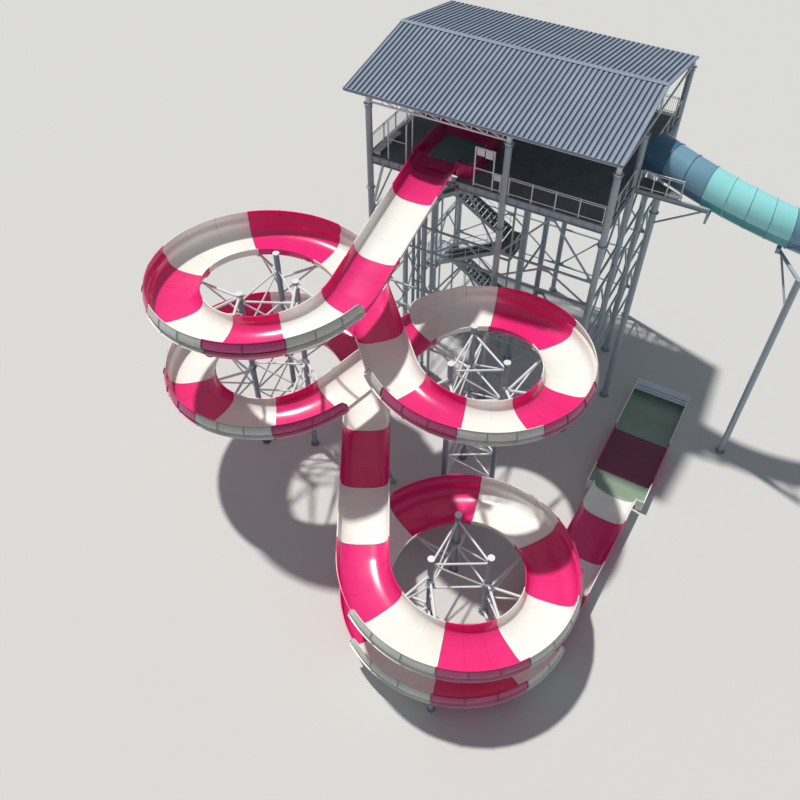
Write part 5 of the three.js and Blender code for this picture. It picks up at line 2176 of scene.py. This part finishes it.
@dataclass
class Mast:
    """Braced posts inside a coil, with an arm and a saddle under every joint that they carry."""

    name: str
    node: str
    route: Route
    posts: tuple[Point, ...]
    carried: tuple[tuple[str, int, int], ...]
    first_level: float = 0.55
    level_pitch: float = 2.3
    radius: float = 0.16
    rail_radius: float = 0.058
    brace_radius: float = 0.048
    arm_radius: float = 0.078
    drop: float = 0.33

    def frame(self) -> list[Piece]:
        """Posts with pale caps, and the rails and braces between them.

        Returns:
            The parts.
        """
        parts = []
        low = min(top for _, _, top in self.posts) - self.first_level
        levels = [low - k * self.level_pitch for k in range(int((low - 1.0) / self.level_pitch) + 1)]
        for k, (x, y, top) in enumerate(self.posts):
            nx, ny, _ = self.posts[(k + 1) % len(self.posts)]
            post = Column(x, y, top - 0.05, self.radius, splices=(top * 0.55,), finish=POST_STEEL)
            parts += post.build()
            parts.append(paint(disc((x, y, top - 0.055), UP, self.radius + 0.03, 0.055, 28), PALE_STEEL))
            bars = []
            for i, z in enumerate(levels):
                bars.append(round_bar((x, y, z), (nx, ny, z), self.rail_radius, 14))
                if i:
                    bars.append(round_bar((x, y, levels[i - 1]), (nx, ny, z), self.brace_radius, 12))
            parts += paint_all(bars, PALE_STEEL)
        return parts

    def arm(self, distance: float) -> list[Piece]:
        """Arm, stub and saddle that carry the channel at one joint.

        Args:
            distance: Distance of the joint from the launch.

        Returns:
            The parts.
        """
        station = self.route.at(distance)
        base = Vector((station.x, station.y, station.z - self.drop))
        post = min(self.posts, key=lambda p: (p[0] - station.x) ** 2 + (p[1] - station.y) ** 2)
        root = Vector((post[0], post[1], min(base.z, post[2] - 0.25)))
        reach = base - root
        reach.z = 0.0
        tip = base + reach.normalized() * 0.12
        parts = [round_bar(root, tip, self.arm_radius, 20), disc(tip, tip - root, 0.09, 0.02, 20)]
        for out in (0.01, 0.036):
            collar = root + (tip - root).normalized() * (self.radius + out)
            parts.append(disc(collar, tip - root, 0.13, 0.02, 20))
        steel = paint_all(parts, PALE_STEEL)
        steel += paint_all(Saddle(self.route, distance, self.drop).build(), STEEL)
        pale = []
        for aside in (-0.72, 0.72):
            pale.append(round_bar(base + UP * 0.02, station.point(aside, -0.075), 0.05, 12))
        low = Vector((root.x, root.y, max(0.3, root.z - 1.15)))
        knee = root + (tip - root) * 0.72
        pale.append(round_bar(low, knee, 0.055, 12))
        return steel + paint_all(pale, PALE_STEEL)

    def build(self) -> None:
        """Model the mast."""
        parts = self.frame()
        for leg, first, last in self.carried:
            for s in self.route.joints[leg][first - 1:last]:
                parts += self.arm(self.route.joint(leg, s))
        if self.node == "coil_mast_3":
            parts += self.outer_post()
        hand_over(join(parts), self.name, Slot.STEEL, [self.node])

    def outer_post(self) -> list[Piece]:
        """Short post outside the lowest turn.

        Returns:
            The parts.
        """
        distance = self.route.joint("coil4", self.route.joints["coil4"][9])
        station = self.route.at(distance)
        low = station.point(-1.14, 0.0)
        parts = Column(low.x, low.y, 0.69, 0.12).build()
        arm = round_bar(station.point(0.0, -self.drop), (low.x, low.y, station.z - self.drop), 0.065, 14)
        return parts + [paint(arm, STEEL)]


@dataclass
class SlideSupports:
    """Everything that carries the open slide."""

    route: Route
    masts: tuple[tuple[str, str, tuple[Point, ...], tuple[tuple[str, int, int], ...]], ...] = (
        ("mast_1", "coil_mast_1", ((-2.12, -10.19, 12.3), (0.67, -8.82, 13.3), (-1.90, -7.0, 12.9)),
         (("coil1", 1, 7), ("coil3", 1, 8))),
        ("mast_2", "coil_mast_2", ((9.38, -5.25, 11.2), (9.56, -8.34, 11.2), (12.01, -6.88, 11.2)),
         (("coil2", 1, 7),)),
        ("mast_3", "coil_mast_3", ((12.5, -12.7, 5.5), (12.5, -15.7, 5.5), (15.05, -14.2, 5.5)),
         (("coil4", 1, 11),)),
    )

    def trestle(self) -> None:
        """Two-legged trestle under the down chute."""
        distance = self.route.joint("down", self.route.joints["down"][0])
        station = self.route.at(distance)
        top = station.z - 0.305
        parts = []
        for side in (-1, 1):
            foot = station.level(side * 1.5, 0.0)
            parts.append(round_bar(foot, station.level(side * 0.45, top), 0.075, 16))
            parts.append(disc(foot, UP, 0.24, 0.03, 20))
        for half, z, radius, sides in ((0.9, top, 0.07, 16), (1.17, 1.4, 0.055, 14)):
            parts.append(round_bar(station.level(-half, z), station.level(half, z), radius, sides))
        parts += Saddle(self.route, distance, drop=0.26).build()
        hand_over(join(paint_all(parts, STEEL)), "down_trestle", Slot.STEEL, ["chute_trestle"])

    def cradle(self) -> None:
        """Low cradle under the exit chute."""
        marks = self.route.joints["exit"]
        ends = [self.route.joint("exit", marks[1]), self.route.joint("exit", marks[3])]
        a, b = (self.route.at(d) for d in ends)
        parts = [flat_bar((a.x, a.y, 0.06), (b.x, b.y, 0.06), 0.22, 0.12)]
        for distance in ends:
            station = self.route.at(distance)
            step = station.ahead() * 0.055
            low = station.level(0.0, (station.z - 0.08) / 2)
            parts.append(flat_bar(low - step, low + step, 1.5, station.z - 0.08))
            for aside in (-0.85, 0.85):
                parts.append(round_bar(station.level(aside, 0.0), station.point(aside, 0.02), 0.04, 10))
        hand_over(join(paint_all(parts, STEEL)), "exit_bearers", Slot.STEEL, ["exit_cradle"])

    def build(self) -> None:
        """Model the masts, the trestle and the cradle."""
        for name, node, posts, carried in self.masts:
            Mast(name, node, self.route, posts, carried).build()
        self.trestle()
        self.cradle()


# Closed tube slide


@dataclass
class TubeSlide:
    """Bays of the closed tube slide, its support and the balcony beside it."""

    start: Point = (14.31, 6.22, 16.89)
    heading: float = math.radians(-19.0)
    turn: float = math.radians(4.4)
    slope: float = 0.17
    steeper: float = 0.0155
    bay: float = 1.15
    bays: int = 8
    split: int = 4
    radius: float = 1.035
    wall: float = 0.02
    beneath: float = 1.065
    post: Plan = (23.37, 3.2)
    support_x: float = 21.89
    cradle_x: float = 18.0
    lap: float = -6.0
    flange: float = 0.027
    # Bay colours from the mouth; the first bay's dark blue is painted shade of the roof.
    finishes: tuple[Finish, ...] = (BLUE_PAINTED_SHADE, SLATE_BLUE, SLATE_BLUE, AQUA, AQUA, AQUA, AQUA, SLATE_BLUE)

    def joints(self) -> list[Vector]:
        """Points where the bays meet, from the mouth to the far end.

        Returns:
            The points.
        """
        points = [Vector(self.start)]
        for k in range(self.bays):
            way = self.heading + self.turn * k
            step = Vector((math.cos(way), math.sin(way), -self.slope - self.steeper * k)).normalized()
            points.append(points[-1] + step * self.bay)
        return points

    def axis_at(self, x: float) -> Vector:
        """Point on the axis.

        Args:
            x: Its x.

        Returns:
            The point.
        """
        points = self.joints()
        for a, b in zip(points, points[1:]):
            if x <= b.x:
                break
        return a + (b - a) * ((x - a.x) / (b.x - a.x))

    def ring(self, at: float, radius: float, angle: float) -> Vector:
        """Point on the upright section at a place along the tube.

        Args:
            at: Place, in bays from the mouth.
            radius: Distance from the axis.
            angle: Direction in degrees, 0 towards the open slide, 90 up.

        Returns:
            The point.
        """
        points = self.joints()
        k = min(self.bays - 1, max(0, int(at)))
        centre = points[k] + (points[k + 1] - points[k]) * (at - k)
        way = self.heading + self.turn * (at - 0.5)
        aside = Vector((math.sin(way), -math.cos(way), 0.0))
        out = math.radians(angle)
        return centre + aside * (radius * math.cos(out)) + UP * (radius * math.sin(out))

    def shell(self, a: float, b: float, r0: float, r1: float, arc: Plan = (0.0, 360.0)) -> Piece:
        """A length of tube between two radii.

        Args:
            a: Place of its first end, in bays.
            b: Place of its last end.
            r0: Inner radius.
            r1: Outer radius.
            arc: Directions between which it runs, in degrees.

        Returns:
            The length.
        """
        sweep = arc[1] - arc[0]
        shell = shaped_grid(
            max(8, round(sweep / 5.0)), 1, lambda u, v: self.ring(a + (b - a) * v, r1, arc[0] + sweep * u))
        thicken(shell, r1 - r0)
        return shell

    def run(self, name: str, node: str, first: int, last: int) -> None:
        """A run of bays.

        Args:
            name: Its name.
            node: Its CAD node.
            first: Number of its first bay.
            last: Number after its last bay.
        """
        parts = []
        r, w = self.radius, self.wall
        for k in range(first, last):
            finish = self.finishes[k]
            a, b = k + 0.002, k + 0.998
            parts.append(paint(self.shell(a, b, r - w, r, (self.lap, 180 - self.lap)), finish))
            # The lower half of each bay is darker: painted shade on the underside.
            under = self.shell(a, b, r - w, r, (180 - self.lap, 360 + self.lap))
            parts.append(paint(under, AQUA_UNDERSIDE_SHADE if finish is AQUA else BLUE_PAINTED_SHADE))
            for low, high in ((a, a + 0.011), (b - 0.011, b)):
                parts.append(paint(self.shell(low, high, r, r + self.flange), finish))
            for angle in (self.lap, 180 - self.lap):
                low, high = (self.ring(at, r + 0.012, angle) for at in (a + 0.02, b - 0.02))
                parts.append(paint(flat_bar(low, high, 0.03, 0.04), finish))
            if k > first:
                parts.append(paint(self.shell(k - 0.006, k + 0.006, r, r + self.flange + 0.002), SEALANT))
        hand_over(join(parts), name, Slot.TUBE, [node])

    def support(self) -> None:
        """Post beside the tube with its arm, strut and saddle."""
        x = self.support_x
        axis = self.axis_at(x)
        px, py = self.post
        saddle_top = self.axis_at(x + 0.15).z - self.beneath - SEAT_GAP
        arm = saddle_top - 0.33
        parts = Column(px, py, arm + 0.1).build()
        steel = [
            round_bar((px, py, arm), (axis.x, axis.y, arm), 0.1, 20),
            round_bar((px, py, arm - 2.0), (axis.x + 0.15, axis.y - 0.1, arm), 0.06, 14),
            block((axis.x - 0.12, axis.x + 0.12), (axis.y - 0.45, axis.y + 0.45), (arm, saddle_top - 0.02)),
        ]
        parts += paint_all(steel, STEEL)
        hand_over(join(parts), "tube_post", Slot.STEEL, ["tube_support"])

    def balcony(self) -> None:
        """Plate beside the tube's mouth on a column, with a beam, a strut, a cradle and a railing."""
        x0, x1, y0, y1 = 14.13, 16.5, 4.0, 4.42
        cradle_x = self.cradle_x
        cradle_top = self.axis_at(cradle_x + 0.06).z - self.beneath - SEAT_GAP
        cradle_y = self.axis_at(cradle_x).y
        outline = [(x0, y0), (x1, y0), (x1, y1), (15.0, 5.15), (x0, 5.25)]
        parts = [paint(prism(Axis.Z, outline, DECK_TOP - DECK_THICK, DECK_TOP), DECKING)]
        steel = Column(15.3, 4.2, DECK_TOP - 0.3, COLUMN_R, splices=(14.6,)).build()
        under = DECK_TOP - 0.07
        steel += deck_beam((14.07, y0 + 0.075), (cradle_x + 0.04, y0 + 0.075), under, 0.26, 0.14, 0.8)
        steel += deck_beam((14.07, 5.1), (15.0, 5.1), under, 0.26, 0.1, 0.8)
        wide, narrow = (cradle_x - 0.06, cradle_x + 0.06), (cradle_x - 0.057, cradle_x + 0.057)
        bars = [
            block(wide, (y0, cradle_y + 0.5), (cradle_top - 0.2, cradle_top)),
            block(narrow, (y0 + 0.003, y0 + 0.147), (cradle_top - 0.197, under)),
            round_bar((15.4, y0 + 0.1, 14.01), (17.78, y0 + 0.1, DECK_TOP - 0.3), 0.055, 14),
        ]
        parts += steel + paint_all(bars, STEEL)
        parts += Railing((x0 + 0.06, y0 + 0.04), (x1 - 0.06, y0 + 0.04), 4).build()
        hand_over(join(parts), "tube_balcony", Slot.STEEL, ["balcony"])

    def build(self) -> None:
        """Model the tube and what carries it."""
        self.run("tube_bays_upper", "tube_upper", 0, self.split)
        self.run("tube_bays_lower", "tube_lower", self.split, self.bays)
        self.support()
        self.balcony()


# Materials of the CAD nodes that stay, and the studio


@dataclass
class KeptNodes:
    """CAD nodes whose shape is kept: they only get their finish."""

    finishes: tuple[tuple[str, Finish], ...] = (("deck", DECKING), ("roof_frame", PALE_STEEL))

    def build(self) -> None:
        """Give each kept node its finish."""
        for node, finish in self.finishes:
            kept = bpy.data.objects.get(node)
            for slot in kept.material_slots:
                slot.material = finish.build()
            LOG.info("%s: kept", node)


@dataclass
class Studio:
    """Floor, lights and camera."""

    place: Point = (21.481, -34.866, 40.507)
    pitch: float = 42.1
    heading: float = 29.28
    lens: float = 36.72
    sensor: float = 36.0
    view_end: float = 500.0
    sun_from: Point = (-0.38, 0.12, 1.0)
    sun_strength: float = 3.15
    sun_angle: float = 2.5
    sun_colour: Colour = (1.0, 0.965, 0.91)
    sky_strength: float = 0.27
    sky_colour: Colour = (0.78, 0.87, 1.0)
    floor_place: Point = (8.0, -4.0, -0.001)
    floor_size: float = 400.0
    floor_colour: Colour = (0.62, 0.62, 0.61)

    def build(self) -> None:
        """Set the floor, the sun, the sky light and the camera."""
        scene = bpy.context.scene
        clear_selection()
        bpy.ops.mesh.primitive_plane_add(size=self.floor_size, location=self.floor_place)
        floor = bpy.context.object
        floor.name = "studio_floor"
        plain = bpy.data.materials.new("studio_floor")
        plain.use_nodes = True
        shader = plain.node_tree.nodes["Principled BSDF"]
        shader.inputs["Base Color"].default_value = (*self.floor_colour, 1.0)
        shader.inputs["Roughness"].default_value = 0.9
        floor.data.materials.append(plain)
        bpy.ops.object.light_add(type="SUN", location=(0.0, 0.0, 60.0))
        sun = bpy.context.object
        sun.data.energy = self.sun_strength
        sun.data.angle = math.radians(self.sun_angle)
        sun.data.color = self.sun_colour
        sun.rotation_euler = Vector(self.sun_from).to_track_quat("Z", "Y").to_euler()
        world = bpy.data.worlds.new("studio_sky")
        world.use_nodes = True
        sky = world.node_tree.nodes["Background"]
        sky.inputs["Color"].default_value = (*self.sky_colour, 1.0)
        sky.inputs["Strength"].default_value = self.sky_strength
        scene.world = world
        bpy.ops.object.camera_add(location=self.place)
        camera = bpy.context.object
        camera.rotation_euler = (math.radians(self.pitch), 0.0, math.radians(self.heading))
        camera.data.lens = self.lens
        camera.data.sensor_width = self.sensor
        camera.data.clip_end = self.view_end
        camera.data.dof.use_dof = False
        scene.camera = camera
        scene.view_settings.view_transform = "Standard"


def main() -> None:
    """Build the whole model."""
    logging.basicConfig(level=logging.INFO, format="%(message)s")
    route = Route()
    OpenSlide(route).build()
    LaunchTub(route).build()
    RunoutLane().build()
    SlideSupports(route).build()
    TowerFrames().build()
    Roof().build()
    DeckGuards().build()
    Stair().build()
    TubeSlide().build()
    KeptNodes().build()
    Studio().build()
    MASTERS.clear()


if __name__ == "__main__":
    main()
